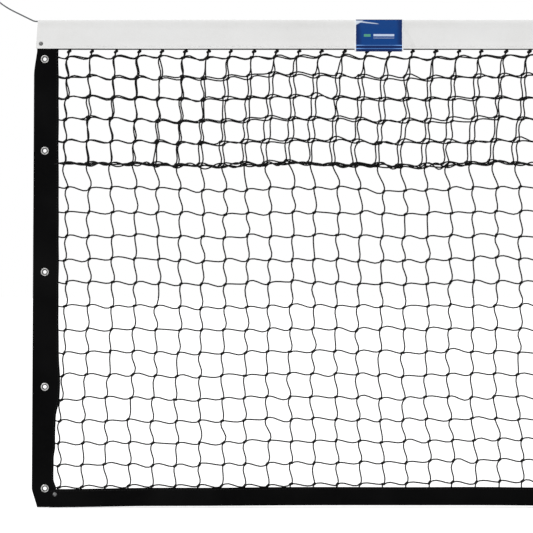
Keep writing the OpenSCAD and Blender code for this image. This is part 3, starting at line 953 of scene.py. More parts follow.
@dataclass
class CableEnd:
    """One end of the headline cable: the coated tail that rises from the headband, and the
    turned-back eye. The route's points are outward and upward from the headband's end."""

    side: Side
    radius: float = 1.6 * MM
    exit_x: float = 6.356
    route: tuple[tuple[float, float], ...] = (
        (0, 0),
        (3, 0.2),
        (6, 0.9),
        (9, 2.1),
        (13, 4),
        (20, 7.4),
        (30, 12.3),
        (42, 18.2),
        (54, 24.2),
        (64, 29.8),
        (74, 36.4),
        (84, 44),
        (92, 50.5),
        (100, 57.5),
        (106, 63),
    )
    sleeve_length: float = 14 * MM
    reach: float = 30 * MM
    loop_radius: float = 11.5 * MM
    leg_gap: float = 1.75 * MM

    def build(self, finish: dict[str, bpy.types.Material]) -> None:
        """Makes the tail and the eye's loop, and dresses the sleeve and the thimble."""
        name = self.side.name.lower()
        route = np.array(self.route) * MM
        line = self.at_end(soften(route, 5))
        tail = self.rope(f"cable_run_{name}", line, finish["vinyl"])
        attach(tail, "cable")
        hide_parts(f"cable_tail_{name}")
        loop = self.rope(f"cable_eye_{name}", self.at_end(self.loop(route)), finish["vinyl"])
        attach(loop, "cable")
        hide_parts(f"eye_loop_{name}")
        sleeve, thimble = NODES[f"ferrule_{name}"], NODES[f"thimble_{name}"]
        dress_node(sleeve.name, finish["sleeve"])
        dress_node(thimble.name, finish["zinc"])

    def rope(self, name: str, line: Array, material: bpy.types.Material) -> bpy.types.Object:
        """Makes one piece of coated round rope along a line."""
        skin = Skin()
        skin.add_tubes(line[None], self.radius, 14)
        return skin.build(name, material, "cable_vinyl")

    def at_end(self, flat: Array) -> Array:
        """Turns outward and upward distances into places at this end of the cable."""
        x = self.side.value * (self.exit_x + flat[:, 0])
        return np.stack([x, np.zeros(len(flat)), flat[:, 1]], -1)

    def loop(self, route: Array) -> Array:
        """The rope round the thimble: one leg, an arc about the eye's centre, and the other leg.

        The arc starts and ends where a line from the sleeve's mouth touches the circle.

        Args:
            route: the tail's route, whose last stretch gives the eye's direction.

        Returns:
            Outward and upward distances, (N, 2).
        """
        mouth = np.array([0.0, self.leg_gap])
        lean = math.asin(self.loop_radius / math.hypot(self.reach, self.leg_gap))
        lean -= math.atan(self.leg_gap / self.reach)
        turn = np.linspace(lean, -math.pi - lean, 40)
        arc = self.loop_radius * np.stack([-np.sin(turn), np.cos(turn)], -1) + (self.reach, 0)
        share = np.linspace(0, 1, 9)[:-1, None]
        leg = mouth * (1 - share) + arc[0] * share
        flat = np.concatenate([leg, arc, (leg * (1, -1))[::-1]])
        flat[:, 0] += self.sleeve_length
        ahead = (route[-1] - route[-2]) / np.linalg.norm(route[-1] - route[-2])
        return route[-1] + flat[:, :1] * ahead + flat[:, 1:] * np.array([-ahead[1], ahead[0]])


def soften(points: Array, steps: int) -> Array:
    """A smooth line through all the points, by cubic curves whose directions are half the
    step from the point before to the point after."""
    ahead = np.gradient(points, axis=0)
    t = np.linspace(0, 1, steps + 1)
    curves = hermite(points[:-1], points[1:], ahead[:-1], ahead[1:], t)
    return np.concatenate([curves[:, :-1].reshape(-1, points.shape[1]), points[-1:]])


@dataclass
class Headband:
    """White strip folded over the cable, sewn near its lower edge.

    A point is given by x and by s, the way along the section: up the front, over the cable
    in a half circle, and down the back.
    """

    wall: float = 1.2 * MM
    turn_radius: float = 2.5 * MM
    seam_rise: float = 5 * MM
    stitch: float = 4.6 * MM
    stitch_gap: float = 1.6 * MM
    crease_x: float = -5.538
    crease_z: float = -36 * MM
    crease_lean: float = -0.55
    crease_depth: float = 2.4 * MM
    rivet_x: float = 6.3465
    slant_from: float = 6.25

    def __post_init__(self) -> None:
        """Reads the strip's ends and lower edge from the model."""
        low, high = span("headband")
        self.left, self.right = low[0], high[0]
        self.low = low[2]
        self.rise = -self.low
        self.length = 2 * self.rise + math.pi * self.turn_radius

    def section(self, s: Array) -> tuple[Array, Array]:
        """Depth and height at s: straight up at -r, a half circle of radius r, straight down at +r,
        with the two walls drawn together between the cable and the seam."""
        turn = np.clip((s - self.rise) / self.turn_radius, 0, math.pi)
        depth = -self.turn_radius * np.cos(turn)
        over = np.minimum(s, self.length - s)
        height = np.where(over < self.rise, self.low + over, self.turn_radius * np.sin(turn))
        close = smooth(height, -2.5 * MM, -14 * MM) * smooth(height, -57 * MM, -44 * MM)
        return depth * (1 - 0.5 * close), height

    def middle(self, x: Array, s: Array) -> Array:
        """The middle of the cloth: the section, moved in depth by slow waves that die away at
        the cable and lessen at the mouth, by puckers and a groove along the seam, and by one
        slanted crease in front. The ends lean, and slow waves lift the edge and the fold.

        Args:
            x: places along the net, (R, 1).
            s: ways along the section, (1, C).

        Returns:
            Points, (R, C, 3).
        """
        depth, height = self.section(s)
        free = smooth(height, 0.0, -22 * MM) * (1 - 0.75 * smooth(height, -40 * MM, self.low))
        sway = 1.5 * waves(3, (x, 0.42), (height, 0.3)) + 0.7 * waves(4, (x, 0.13), (height, 0.07))
        puckers = bump(height, self.low + self.seam_rise, 7 * MM) * waves(5, (x, 0.021))
        groove = bump(height, self.low + self.seam_rise, 1.3 * MM)
        front = np.where(s < self.length / 2, 1.0, -1.0)
        across = x - self.crease_x - self.crease_lean * (height - self.crease_z)
        crease = across / (3.0 * MM) * bump(across, 0.0, 4.5 * MM)
        crease = crease * smooth(height, -58 * MM, -46 * MM)
        crease = crease * smooth(height, -8 * MM, -24 * MM) * (front > 0)
        loose = 1 - bump(np.abs(x), self.rivet_x, 25 * MM)
        moved = loose * (0.8 * sway * free + 0.3 * puckers) + 0.4 * groove * front
        y = depth + moved * MM + crease * self.crease_depth
        slant = smooth(np.abs(x), self.slant_from, self.right) * np.sign(x)
        slant = slant * (-1.6 * MM - 0.07 * height)
        z = height + 0.3 * MM * waves(6, (x, 0.8)) * smooth(height, -30 * MM, self.low)
        z = z + 0.35 * MM * waves(7, (x, 0.9)) * smooth(height, -20 * MM, 2 * MM)
        return np.stack(np.broadcast_arrays(x + slant, y, z), -1)

    def outside(self, x: Array, s: Array, away: float | Array) -> Array:
        """Points at a distance outwards from the middle of the cloth.

        The outward direction is the cross product of small steps along x and along s.
        """
        tiny = 0.2 * MM
        here = self.middle(x, s)
        normal = np.cross(self.middle(x + tiny, s) - here, self.middle(x, s + tiny) - here)
        return here + away * normal / np.linalg.norm(normal, axis=-1, keepdims=True)

    def build(self, finish: dict[str, bpy.types.Material]) -> None:
        """Makes the strip and its two rows of stitches."""
        x = np.concatenate(
            [
                np.arange(self.left, self.right, 22 * MM),
                np.arange(self.crease_x - 36 * MM, self.crease_x + 36 * MM, 2 * MM),
                [self.right],
            ]
        )
        x = np.unique(np.round(x, 4))[:, None]
        up = np.array([0, 2, 3.8, 5, 6.2, 8, 12, 18, 24, 30, 36, 42, 48, 53, 57]) * MM
        bend = self.rise + self.turn_radius * np.linspace(0, math.pi, 7)
        s = np.concatenate([up, bend, self.length - up[::-1]])[None]
        skin = Skin()
        uv = np.stack(np.broadcast_arrays(x, s), -1)
        skin.add_shell(self.middle(x, s), self.wall, uv)
        piece = skin.build("headband_cloth", finish["headband"], "headband_cloth")
        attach(piece, "headband")
        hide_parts("headband")
        self.sew(finish)

    def sew(self, finish: dict[str, bpy.types.Material]) -> None:
        """Lays a stitch every few millimetres along the seam, clear of the label and rivets."""
        ends = span("headband_seams")
        label = span("label_backing")
        start = np.arange(ends[0][0], ends[1][0] - self.stitch, self.stitch + self.stitch_gap)
        clear = (start + self.stitch < label[0][0]) | (start > label[1][0])
        start = start[clear][:, None]
        skin = Skin()
        for s in (self.seam_rise, self.length - self.seam_rise):
            x = start + np.array([0.0, 0.5, 1.0]) * self.stitch
            lift = np.array([0.1, 0.45, 0.1]) * MM + self.wall / 2
            skin.add_stitches(self.outside(x, np.full_like(x, s), lift[:, None]))
        piece = skin.build("headband_stitches", finish["white_thread"], "white_thread")
        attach(piece, "headband")
        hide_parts("headband_seams")


@dataclass
class Label:
    """Blue printed label on a pale backing, wrapped over the headband and hanging a few
    millimetres below its edge."""

    band: Headband
    lip: float = 6.0 * MM
    backing: float = 0.5 * MM
    face: float = 0.4 * MM
    gap: float = 0.12 * MM
    face_past: float = 0.8 * MM
    blend_depth: float = 10 * MM

    def build(self, finish: dict[str, bpy.types.Material]) -> None:
        """Makes the backing and the printed face."""
        first = self.band.wall / 2 + self.gap + self.backing / 2
        second = first + self.backing / 2 + self.gap + self.face / 2
        inner_lip = self.lip - self.face_past
        for node, away, wall, lip, key, slot in (
            ("label_backing", first, self.backing, inner_lip, "backing", "label_backing_vinyl"),
            ("label_face", second, self.face, self.lip, "label", "label_vinyl"),
        ):
            low, high = span(node)
            x = np.linspace(low[0], high[0], 42)[:, None]
            s = self.ways(lip)[None]
            skin = Skin()
            uv = np.stack(np.broadcast_arrays(x - low[0], s + lip), -1)
            skin.add_shell(self.band.outside(x, s, away), wall, uv)
            piece = skin.build(node + "_sheet", finish[key], slot)
            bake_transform(piece)
            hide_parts(node)

    def ways(self, lip: float) -> Array:
        """The ways along the headband's section that the label covers."""
        up = np.linspace(-lip, self.band.rise - 1 * MM, 20)
        bend = self.band.rise + self.band.turn_radius * np.linspace(0, math.pi, 9)
        return np.concatenate([up, bend, self.band.length - up[::-1]])


@dataclass
class Netting:
    """Knotted twine: a full layer, a second layer over the upper meshes, and their borders.

    Knots stand on the model's lines, moved by slow waves and a little chance. Between them
    each twine is a cubic curve that leaves and enters its knots on a slant, which gives the
    flat S of slack knotted mesh. Leans and spreads are in millimetres, waves in metres.
    """

    radius: float = 1.7 * MM
    steps: tuple[float, ...] = (0.0, 0.11, 0.28, 0.5, 0.72, 0.89, 1.0)
    sides: int = 5
    back: float = 1.5 * MM
    front: float = -1.6 * MM
    bays: int = 9
    second_bays: int = 3
    wraps: tuple[float, ...] = (1.6, 3.0, 3.5, 2.9, 3.5, 3.0, 1.6)
    knot_length: float = 10.2 * MM
    lacing_radius: float = 1.6 * MM
    lacing_wide: float = 3.4 * MM
    arm_length: float = 3.0 * MM
    top_shift: float = 4.5 * MM
    top_chance: float = 0.8 * MM
    top_below: float = 1.5 * MM
    lean_wave: float = 18.0
    gather_wave: float = 2.1
    ripple_wave: float = 0.46
    arch_wave: float = 2.3
    layer_wave: float = 2.4
    row_lean: float = 18.0
    second_row_lean: float = 25.0
    row_spread: float = 9.0
    column_lean: float = 19.0
    column_spread: float = 10.0
    depth_spread: float = 7.0
    usual_tilt: float = math.radians(40)
    tilt_spread: float = math.radians(13)
    post_in: float = 35 * MM
    post_depth: float = 0.6 * MM
    hem_depth: float = 14 * MM
    hitch_drop: float = 4.2 * MM
    seed: int = 11

    def __post_init__(self) -> None:
        """Reads the lines of the twines from the model."""
        self.columns = centres("netting_columns", 0)
        self.rows = centres("netting_rows", 2)[::-1]
        self.second_columns = centres("second_layer_columns", 0)
        self.second_rows = centres("second_layer_rows", 2)[::-1]
        self.left = span("side_tape_left")[0][0]
        self.draw = np.random.default_rng(self.seed)

    def aside(self, run: Array, depth: Array) -> Array:
        """How far the hanging mesh is moved along X, in millimetres.

        It leans, to the right above and to the left below, by an amount that turns over along
        the net. The laced row is drawn to the left, and the columns bunch and spread along a
        slow cosine.

        Args:
            run: distances from the net's left edge.
            depth: shares of the way down from the first row to the last.

        Returns:
            The moves.
        """
        lean = 15 - 3 * smooth(depth, 0.0, 0.08) - 16 * depth
        lean = lean + 6 * smooth(depth, 0.25, 0.32) * (1 - smooth(depth, 0.7, 0.85))
        laced = smooth(depth, 0.13, 0.24) * (1 - smooth(depth, 0.26, 0.3))
        drawn = 3.5 * laced * (1 - cosine(run, self.layer_wave))
        gather = 0.5 + 0.4 * smooth(depth, 0.0, 0.3) - 0.6 * smooth(depth, 0.7, 1.0)
        bunched = 17 * gather * (1 - cosine(run, self.gather_wave))
        return lean * cosine(run, self.lean_wave) - drawn - bunched

    def lift(self, run: Array, depth: Array) -> Array:
        """How far the hanging mesh is moved along Z, in millimetres.

        The upper half sags and the lower half is drawn up. A cosine along the net lifts and
        lowers it, less towards the foot, and the foot rises in one narrow arch per wave.

        Args:
            run: distances from the net's left edge.
            depth: shares of the way down from the first row to the last.

        Returns:
            The moves.
        """
        hang = 12.5 * smooth(depth, 0.33, 0.75) - 6.5 * smooth(depth, 0.8, 1.0) - 4.5
        hang = hang - 1.8 * smooth(depth, 0.22, 0.3) - 1.5 * (1 - smooth(depth, 0.0, 0.05))
        ripple = cosine(run - 0.13, self.ripple_wave) * smooth(depth, -0.05, 0.1)
        arch = (0.5 - 0.5 * cosine(run, self.arch_wave)) ** 4
        return hang + ripple * (3.0 - 2.2 * depth) + 8.5 * arch * smooth(depth, 0.8, 1.0)

    def drift(self, x: Array, z: Array) -> tuple[Array, Array]:
        """How far the hanging mesh is moved at a place, with slow waves added and the foot
        following the hem.

        Args:
            x: places along the net.
            z: heights.

        Returns:
            The move along X and the move along Z.
        """
        depth = (self.rows[0] - z) / (self.rows[0] - self.rows[-1])
        run = x - self.left
        side = self.aside(run, depth) + 1.6 * waves(21, (x, 0.9), (z, 0.5))
        free = 1 - smooth(depth, 0.8, 1.0)
        hang = self.lift(run, depth) + 1.2 * waves(22, (x, 0.5), (z, 0.9)) * free
        return side * MM, hang * MM + hem_lift(x) * smooth(depth, 0.5, 1.0)

    def knots(self) -> Array:
        """Places of the full layer's knots, (C, R, 3)."""
        x, z = np.meshgrid(self.columns, self.rows, indexing="ij")
        side, hang = self.drift(x, z)
        edge = np.ones(len(self.rows))
        edge[[0, -1]] = (0.6, 0.5)
        chance = self.draw.normal(0.0, 1.0, (2, *x.shape)) * edge * MM
        y = self.back + 0.4 * MM * waves(23, (x, 0.3), (z, 0.2))
        return np.stack([x + side + 1.5 * chance[0], y, z + hang + 1.4 * chance[1]], -1)

    def second_knots(self, base: Array) -> Array:
        """Places of the second layer's knots: the full layer's, in front of them, moved to the
        left and up by an amount that comes and goes along the net and starts at the second row.

        Args:
            base: places of the full layer's knots.

        Returns:
            Points, (C, R, 3).
        """
        count, rows = len(self.second_columns), len(self.second_rows)
        knots = base[:count, :rows].copy()
        come = 0.5 - 0.5 * cosine(self.second_columns - self.left, self.layer_wave)
        come = smooth(come, 0.0, 0.4)
        below = smooth(np.arange(rows), 0.0, 1.2)
        share = come[:, None] * below + self.draw.normal(0.0, 0.12, (count, rows)) * below
        knots[..., 0] -= (0.5 + 8.0 * share) * MM
        knots[..., 1] = self.front
        lift = self.draw.normal(1.2, 1.3, (count, rows)) * below
        knots[..., 2] += (0.4 + 2.4 * share + lift) * MM
        return knots

    def strands(
        self, knots: Array, tilt: Array, low: float | Array, slack: float
    ) -> tuple[Array, Array]:
        """The twines between the knots of one layer, and out to its borders.

        A row leaves a knot from the two ends of its slant, and a column from its upper and
        lower side.

        Args:
            knots: places, (C, R, 3).
            tilt: the slant of each knot in the net's plane, (C, R).
            low: the height at which the columns end, inside the bottom tape or just below the
                last row.
            slack: how far the rows usually lean out of their knots, in millimetres.

        Returns:
            Row curves, (C + 1, R, S, 3), and column curves, (C, R + 1, S, 3), of S points each.
        """
        count = len(knots)
        arm = self.arm_length * np.stack([np.cos(tilt), 0 * tilt, 0.7 * np.sin(tilt)], -1)
        edge = self.post_depth * np.sign(knots[:1, :, 1:2])
        outer = []
        for end, sign in ((0, -1), (-1, 1)):
            post = knots[end : end + 1 or None].copy()
            post[..., 0] = sign * (abs(self.left) - self.post_in)
            post[..., 1:2] = edge
            post[..., 2] -= self.arm_length * sign
            outer.append(post)
        start = np.concatenate([outer[0], knots + arm])
        stop = np.concatenate([knots - arm, outer[1]])
        across = self.curves(start, stop, (0, 0, 1), slack, self.row_spread)
        top = knots[:, :1].copy()
        top[..., 0] += self.top_shift + self.top_chance * self.draw.normal(size=(count, 1))
        top[..., 1] *= 0.3
        top[..., 2] = HINGE_Z - self.top_below
        foot = knots[:, -1:].copy()
        foot[..., 0] -= 1.5 * MM
        foot[..., 1] *= 0.5
        foot[..., 2] = low
        drop = np.stack([-0.6 * np.cos(tilt), 0 * tilt, -0.25 - 0.8 * np.sin(tilt)], -1)
        drop *= self.arm_length
        start = np.concatenate([top, knots + drop], axis=1)
        stop = np.concatenate([knots - drop, foot], axis=1)
        down = self.curves(start, stop, (-1, 0, 0), self.column_lean, self.column_spread)
        return across, down

    def curves(
        self, start: Array, stop: Array, lean: tuple[int, int, int], usual: float, spread: float
    ) -> Array:
        """Slack curves between knots, which leave and enter them leaning to one side.

        The lean is drawn about a usual number of millimetres, and is less on short pieces.

        Args:
            start: first points, (N, M, 3).
            stop: last points, (N, M, 3).
            lean: the side that they lean to.
            usual: the usual lean.
            spread: the lean's usual difference from it.

        Returns:
            Points, (N, M, S, 3).
        """
        chord = stop - start
        share = np.clip(np.linalg.norm(chord, axis=-1, keepdims=True) / (45 * MM), 0.15, 1.1) ** 2
        size = self.draw.normal(usual, spread, (2, *start.shape[:2], 1)) * MM * share
        out = self.draw.normal(0.0, self.depth_spread, (2, *start.shape[:2], 1)) * MM * share
        aside, depth = np.array(lean, float), np.array((0.0, 1.0, 0.0))
        leave = chord + size[0] * aside + out[0] * depth
        enter = chord + size[1] * aside + out[1] * depth
        ends = [points.reshape(-1, 3) for points in (start, stop, leave, enter)]
        lines = hermite(*ends, np.array(self.steps))
        return lines.reshape(*start.shape[:2], len(self.steps), 3)

    def knot_lines(self, knots: Array, tilt: Array) -> Array:
        """The line through each knot: straight along the knot's slant, with a slight bow of
        chance size, one cosine long.

        Args:
            knots: places, (N, 3).
            tilt: slants, (N,).

        Returns:
            Points, (N, R, 3), one for each radius of the wraps.
        """
        t = np.linspace(-0.5, 0.5, len(self.wraps))[None, :, None]
        axis = np.stack([np.cos(tilt), np.zeros_like(tilt), np.sin(tilt)], -1)[:, None]
        up = np.stack([-np.sin(tilt), np.zeros_like(tilt), np.cos(tilt)], -1)[:, None]
        bow = self.draw.normal(0.0, 0.45, (len(knots), 1, 1)) * MM * np.cos(2 * math.pi * t)
        return knots[:, None] + t * self.knot_length * axis + bow * up

    def lay(self, skin: Skin, knots: Array, tilt: Array, rows: Array, columns: Array) -> None:
        """Adds one bay's row twines, column twines, knots and the hitches round the border
        cord to a piece."""
        rings = len(self.steps)
        skin.add_tubes(rows.reshape(-1, rings, 3), self.radius, self.sides)
        skin.add_tubes(columns.reshape(-1, rings, 3), self.radius, self.sides)
        hitches = columns[:, 0, 0] - (0.0, 0.0, self.hitch_drop)
        places = np.concatenate([knots.reshape(-1, 3), hitches])
        upper = np.clip(tilt[:, 0], 0.35, 0.7)
        lines = self.knot_lines(places, np.concatenate([tilt.ravel(), upper]))
        skin.add_tubes(lines, np.array(self.wraps) * MM, self.sides)

    def build(self, finish: dict[str, bpy.types.Material]) -> None:
        """Makes both layers bay by bay, the lacing and the border cord."""
        base = self.knots()
        second = self.second_knots(base)
        nodes = ("netting_columns", "netting_rows")
        self.layer(base, finish, "netting_bay", nodes, self.bays, True)
        nodes = ("second_layer_columns", "second_layer_rows")
        self.layer(second, finish, "second_layer_bay", nodes, self.second_bays, False)
        self.lace(base[:, len(self.second_rows) - 1], second[:, -1], finish)
        self.border(finish)

    def layer(
        self,
        knots: Array,
        finish: dict[str, bpy.types.Material],
        name: str,
        nodes: tuple[str, str],
        bays: int,
        to_hem: bool,
    ) -> None:
        """Makes one layer in bays of neighbouring columns.

        Args:
            knots: places, (C, R, 3).
            finish: materials by name.
            name: the start of each piece's name.
            nodes: CAD nodes that the layer stands for.
            bays: number of pieces.
            to_hem: whether the columns run on into the bottom tape.
        """
        tilt = self.draw.normal(self.usual_tilt, self.tilt_spread, knots.shape[:2])
        hem = span("bottom_tape")[1][2] - self.hem_depth
        low, slack = hem, self.row_lean
        if not to_hem:
            low, slack = knots[:, -1:, 2] - 5 * MM, self.second_row_lean
        across, down = self.strands(knots, tilt, low, slack)
        cuts = np.linspace(0, len(knots), bays + 1).astype(int)
        for number, (start, stop) in enumerate(zip(cuts[:-1], cuts[1:]), 1):
            bay = slice(start, stop)
            rows = across[start : stop + 1 if stop == len(knots) else stop]
            skin = Skin()
            self.lay(skin, knots[bay], tilt[bay], rows, down[bay])
            piece = skin.build(f"{name}_{number}", finish["twine"], "twine")
            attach(piece, "netting")
            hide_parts(*nodes)

    def lace(self, base: Array, second: Array, finish: dict[str, bpy.types.Material]) -> None:
        """Winds two lacing cords round the second layer's last row and the row behind it.
        Each is a loose helix about the line midway between the two rows."""
        low, high = span("second_layer_lacing")
        x = np.arange(low[0] - 10 * MM, high[0] + 10 * MM, 5 * MM)
        z = np.interp(x, base[:, 0], base[:, 2]) + np.interp(x, second[:, 0], second[:, 2])
        skin = Skin()
        for pitch, deep, seed in ((51 * MM, 2.8 * MM, 31), (-72 * MM, 2.4 * MM, 32)):
            turn = 2 * math.pi * x / pitch + 1.6 * waves(seed, (x, 0.3))
            wide = self.lacing_wide * (1 + 0.8 * waves(seed + 5, (x, 0.13)))
            height = z / 2 + wide * np.sin(turn) - 0.8 * MM
            line = np.stack([x, deep * np.cos(turn), height], -1)
            skin.add_tubes(line[None], self.lacing_radius, 6)
        piece = skin.build("second_layer_laced_edge", finish["border"], "border_cord")
        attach(piece, "netting")
        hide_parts("second_layer_lacing")

    def border(self, finish: dict[str, bpy.types.Material]) -> None:
        """Makes the cord that the netting hangs from, straight on the hinge's axis."""
        low, high = span("top_border_cord")
        x = np.linspace(low[0], high[0], 640)
        line = np.stack([x, np.zeros_like(x), np.full_like(x, HINGE_Z)], -1)
        skin = Skin()
        skin.add_tubes(line[None], (high[2] - low[2]) / 2, 10)
        piece = skin.build("netting_border_cord", finish["border"], "border_cord")
        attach(piece, "netting")
        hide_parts("top_border_cord")


def hem_lift(x: Array) -> Array:
    """How far the lower hem hangs above its lowest line: 0 at the corners, and 3 to 5 mm
    between them, along a slow sine."""
    run = HALF_LENGTH - np.abs(x)
    return smooth(run, 0.02, 0.25) * (3.9 + 1.1 * np.sin(2 * math.pi * (run - 0.45) / 1.4)) * MM


@dataclass
class SideTape:
    """Black strip folded at the net's outer edge, with grommets and a cut lower corner.

    A point is given by its height z and by s, the way along the section from the front's inner
    edge to the fold and back, as a share from 0 to 1.
    """

    side: Side
    wall: float = 0.8 * MM
    depth: float = 3.05 * MM
    width: float = 50 * MM
    fold: float = 2.3 * MM
    hole: float = 5.6 * MM
    cut_width: float = 12 * MM
    cut_height: float = 39 * MM
    seam_in: float = 4 * MM

    def __post_init__(self) -> None:
        """Reads the strip's place and its grommets from the model."""
        low, high = span(f"side_tape_{self.side.name.lower()}")
        self.outer = max(abs(low[0]), abs(high[0]))
        self.low = low[2]
        self.top = HINGE_Z + 0.55 * MM
        self.grommets = grommet_places(self.side) * (self.side.value, 1)

    def edges(self, z: Array) -> tuple[Array, Array]:
        """Distances of the inner and outer edge from the net's middle, at a height.

        The outer edge bows inwards at the top and outwards at the foot and is cut off at the
        corner; the inner edge swells and narrows above the foot and is drawn in by each row.
        """
        drop = self.top - z
        bow = 7.5 * (1 - smooth(drop, -0.01, 0.06)) - 1.2 - 5.5 * drop
        cut = self.cut_width * np.clip(1 - (z - self.low) / self.cut_height, 0, 1)
        swell = 2.2 + 3.4 * bump(drop, 0.735, 0.05) - 6.7 * smooth(drop, 0.765, 0.81)
        swell = swell - 4.0 * smooth(drop, 0.87, 0.9) + 5.0 * smooth(drop, 0.945, 0.965)
        seed = 46 + self.side.value
        swell = swell + 0.5 * waves(seed, (z, 0.08))
        return self.outer - self.width - swell * MM, self.outer - bow * MM - cut

    def middle(self, z: Array, s: Array) -> Array:
        """The middle of the cloth: straight from the inner edge to the fold, a half ellipse
        round it, and straight back, with slow waves in depth.

        Args:
            z: heights, (R, 1).
            s: shares of the way, (1, C).

        Returns:
            Points, (R, C, 3), at the right end.
        """
        inner, outer = self.edges(z)
        t = 1 - np.abs(1 - 2 * s)
        share = np.clip(t / 0.9, 0, 1)
        turn = math.pi * np.clip((s - 0.45) / 0.1, 0, 1)
        x = inner + (outer - self.fold - inner) * share + self.fold * np.sin(turn)
        seam = bump(x, inner + self.seam_in, 1.6 * MM)
        side = np.where(s < 0.5, -1.0, 1.0)
        y = -self.depth * np.cos(turn) - 0.35 * MM * seam * side
        wave = waves(51, (z, 0.16), (x, 0.09)) * smooth(t, 0.0, 0.5)
        return np.stack(np.broadcast_arrays(x, y + 0.35 * MM * wave, z + 0 * x), -1)

    def build(self, finish: dict[str, bpy.types.Material]) -> None:
        """Makes the strip with a round hole at each grommet, and its stitches."""
        name = self.side.name.lower()
        z = np.linspace(self.low, self.top, 300)[:, None]
        face, bend = np.linspace(0, 0.45, 17), np.linspace(0.45, 0.55, 7)
        s = np.concatenate([face, bend[1:-1], 1 - face[::-1]])
        grid = self.middle(z, s[None])
        keep = self.punch(grid)
        far = np.broadcast_to(s[None] * 2 * self.width, grid.shape[:2])
        uv = np.stack([np.broadcast_to(z, grid.shape[:2]), far], -1)
        if self.side is Side.LEFT:
            grid = grid * (-1, 1, 1)
        else:
            grid, keep, uv = grid[:, ::-1], keep[:, ::-1], uv[:, ::-1]
        skin = Skin()
        skin.add_shell(grid, self.wall, uv, keep)
        piece = skin.build(f"side_tape_cloth_{name}", finish["tape"], "tape_cloth")
        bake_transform(piece)
        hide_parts(f"side_tape_{name}")
        self.sew(finish, name)

    def punch(self, grid: Array) -> Array:
        """Leaves out the cells over each grommet's barrel and draws the cells' corners round
        the gap onto a circle under its rim.

        Args:
            grid: the middle of the cloth, changed in place, (R, C, 3).

        Returns:
            The cells that are kept, (R - 1, C - 1).
        """
        flat = grid[..., [0, 2]]
        centre = (flat[:-1, :-1] + flat[1:, :-1] + flat[1:, 1:] + flat[:-1, 1:]) / 4
        keep = np.ones(centre.shape[:2], bool)
        for place in self.grommets:
            gone = np.linalg.norm(centre - place, axis=-1) < self.hole
            keep &= ~gone
            near = np.pad(gone, 1)
            touched = near[:-1, :-1] | near[1:, :-1] | near[1:, 1:] | near[:-1, 1:]
            inside = np.pad(gone, 1, constant_values=True)
            buried = inside[:-1, :-1] & inside[1:, :-1] & inside[1:, 1:] & inside[:-1, 1:]
            rim = touched & ~buried
            out = flat[rim] - place
            out *= self.hole / np.linalg.norm(out, axis=-1, keepdims=True)
            grid[rim, 0], grid[rim, 2] = (place + out).T
        return keep

    def sew(self, finish: dict[str, bpy.types.Material], name: str) -> None:
        """Lays a row of stitches down each face, near the open edge."""
        low, high = span(f"side_seams_{name}")
        z = np.arange(low[2], high[2] - 5 * MM, 6 * MM)[:, None] + np.array([0.0, 2.2, 4.4]) * MM
        skin = Skin()
        for face in (-1, 1):
            inner, _ = self.edges(z)
            x = self.side.value * (inner + self.seam_in)
            lift = self.depth - 0.35 * MM + self.wall / 2 + np.array([0.0, 0.35, 0.0]) * MM
            skin.add_stitches(np.stack([x, face * lift + 0 * z, z], -1))
        piece = skin.build(f"side_stitches_{name}", finish["black_thread"], "black_thread")
        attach(piece, "netting")
        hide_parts(f"side_seams_{name}")


@dataclass
class BottomTape:
    """Black strip folded up round the netting's lower edge.

    A point is given by x and by s, the way along the section: down the back, round the fold
    and up the front.
    """

    wall: float = 0.8 * MM
    depth: float = 3.95 * MM
    fold: float = 2.2 * MM
    seam_in: float = 4 * MM

    def __post_init__(self) -> None:
        """Reads the strip's place from the model."""
        low, high = span("bottom_tape")
        self.left, self.right = low[0], high[0]
        self.low, self.high = low[2] + self.wall / 2, high[2]
        self.drop = self.high - self.low - self.fold
        self.bend = math.pi * (self.depth + self.fold) / 2
        self.length = 2 * self.drop + self.bend

    def middle(self, x: Array, s: Array) -> Array:
        """The middle of the cloth: straight down, a half ellipse, straight up, lifted as a whole
        by the hem's slow rise, with waves in depth and along the open edges.

        Args:
            x: places along the net, (R, 1).
            s: ways along the section, (1, C).

        Returns:
            Points, (R, C, 3).
        """
        turn = math.pi * np.clip((s - self.drop) / self.bend, 0, 1)
        over = np.clip(np.minimum(s, self.length - s), None, self.drop)
        y = self.depth * np.cos(turn)
        z = self.high - over - self.fold * np.sin(turn)
        free = smooth(z, self.low + 6 * MM, self.high)
        seam = bump(z, self.high - self.seam_in, 1.6 * MM) * np.sign(y)
        y = y + (0.5 * waves(61, (x, 0.24), (z, 0.1)) * free - 0.3 * seam) * MM
        z = z + hem_lift(x) + 0.6 * MM * waves(62, (x, 0.35)) * (0.4 + 0.6 * free)
        return np.stack(np.broadcast_arrays(x, y, z), -1)

    def build(self, finish: dict[str, bpy.types.Material]) -> None:
        """Makes the strip and its two rows of stitches."""
        x = np.linspace(self.left, self.right, 860)[:, None]
        down = np.array([0, 2.2, 4, 5.8, 10, 16, 22, 28, 33]) * MM
        s = np.concatenate(
            [down, self.drop + self.bend * np.linspace(0, 1, 7), self.length - down[::-1]]
        )
        skin = Skin()
        uv = np.stack(np.broadcast_arrays(x, s[None]), -1)
        skin.add_shell(self.middle(x, s[None]), self.wall, uv)
        piece = skin.build("bottom_tape_cloth", finish["tape"], "tape_cloth")
        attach(piece, "netting")
        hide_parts("bottom_tape")
        ends = span("bottom_seams")
        start = np.arange(ends[0][0], ends[1][0] - 5 * MM, 6.2 * MM)[:, None]
        x = start + np.array([0.0, 2.3, 4.6]) * MM
        thread = Skin()
        for s, face in ((self.seam_in, 1), (self.length - self.seam_in, -1)):
            line = self.middle(x, np.full_like(x, s))
            line[..., 1] += face * (self.wall / 2 + np.array([0.05, 0.4, 0.05]) * MM)
            thread.add_stitches(line)
        piece = thread.build("bottom_stitches", finish["black_thread"], "black_thread")
        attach(piece, "netting")
        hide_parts("bottom_seams")


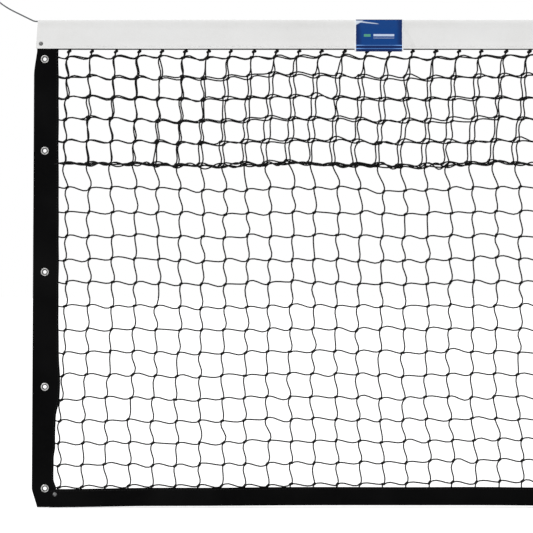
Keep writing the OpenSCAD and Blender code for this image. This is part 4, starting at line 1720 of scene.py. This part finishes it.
@dataclass
class Grommets:
    """Rolled grommets of one side tape: a wide rim in front, a barrel through the tape, and
    an end curled over the washer behind. The outline is in millimetres."""

    side: Side
    outline: tuple[tuple[float, float], ...] = (
        (8.6, -3.46),
        (8.75, -3.8),
        (8.55, -4.3),
        (7.9, -4.64),
        (7.0, -4.7),
        (6.0, -4.5),
        (5.1, -4.1),
        (4.4, -3.5),
        (4.0, -2.5),
        (4.0, 4.3),
        (4.15, 5.0),
        (4.6, 5.45),
        (5.2, 5.6),
        (5.7, 5.35),
        (5.9, 4.9),
        (5.75, 4.45),
        (5.3, 4.32),
        (4.72, 4.3),
        (4.7, -3.2),
        (5.1, -3.46),
    )

    def build(self, finish: dict[str, bpy.types.Material]) -> None:
        """Makes the grommets and dresses their washers."""
        name = self.side.name.lower()
        skin = Skin()
        skin.add_rings(np.array(self.outline) * MM, grommet_places(self.side))
        piece = skin.build(f"rolled_grommets_{name}", finish["rim"], "grommet_nickel")
        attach(piece, "netting")
        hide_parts(f"grommets_{name}")
        dress_node(f"grommet_washers_{name}", finish["nickel"])


def grommet_places(side: Side) -> Array:
    """The x and z of one side's grommets, (N, 2), from the mounts."""
    start = f"grommet_{side.name.lower()}_"
    return np.array([m["pos_m"] for key, m in MOUNTS.items() if key.startswith(start)])[:, [0, 2]]


@dataclass(frozen=True)
class Fittings:
    """Metal parts whose shapes come straight from the model."""

    finishes: tuple[tuple[str, str], ...] = (
        ("headband_rivets", "rivet"),
        ("corner_rivets", "rivet"),
        ("cable_core", "rope"),
        ("cable_coat", "vinyl"),
    )

    def build(self, finish: dict[str, bpy.types.Material]) -> None:
        """Gives each fitting its metal."""
        for node, key in self.finishes:
            dress_node(node, finish[key])


def main() -> None:
    """Builds the whole net, piece by piece."""
    logging.basicConfig(level=logging.INFO, format="%(message)s")
    Studio().build()
    finish = Palette().make()
    band = Headband()
    parts = [CableEnd(side) for side in Side]
    parts += [band, Label(band), Netting()]
    parts += [SideTape(side) for side in Side] + [Grommets(side) for side in Side]
    parts += [BottomTape(), Fittings()]
    for part in parts:
        part.build(finish)
        LOG.info("built %s", type(part).__name__)


if __name__ == "__main__":
    main()
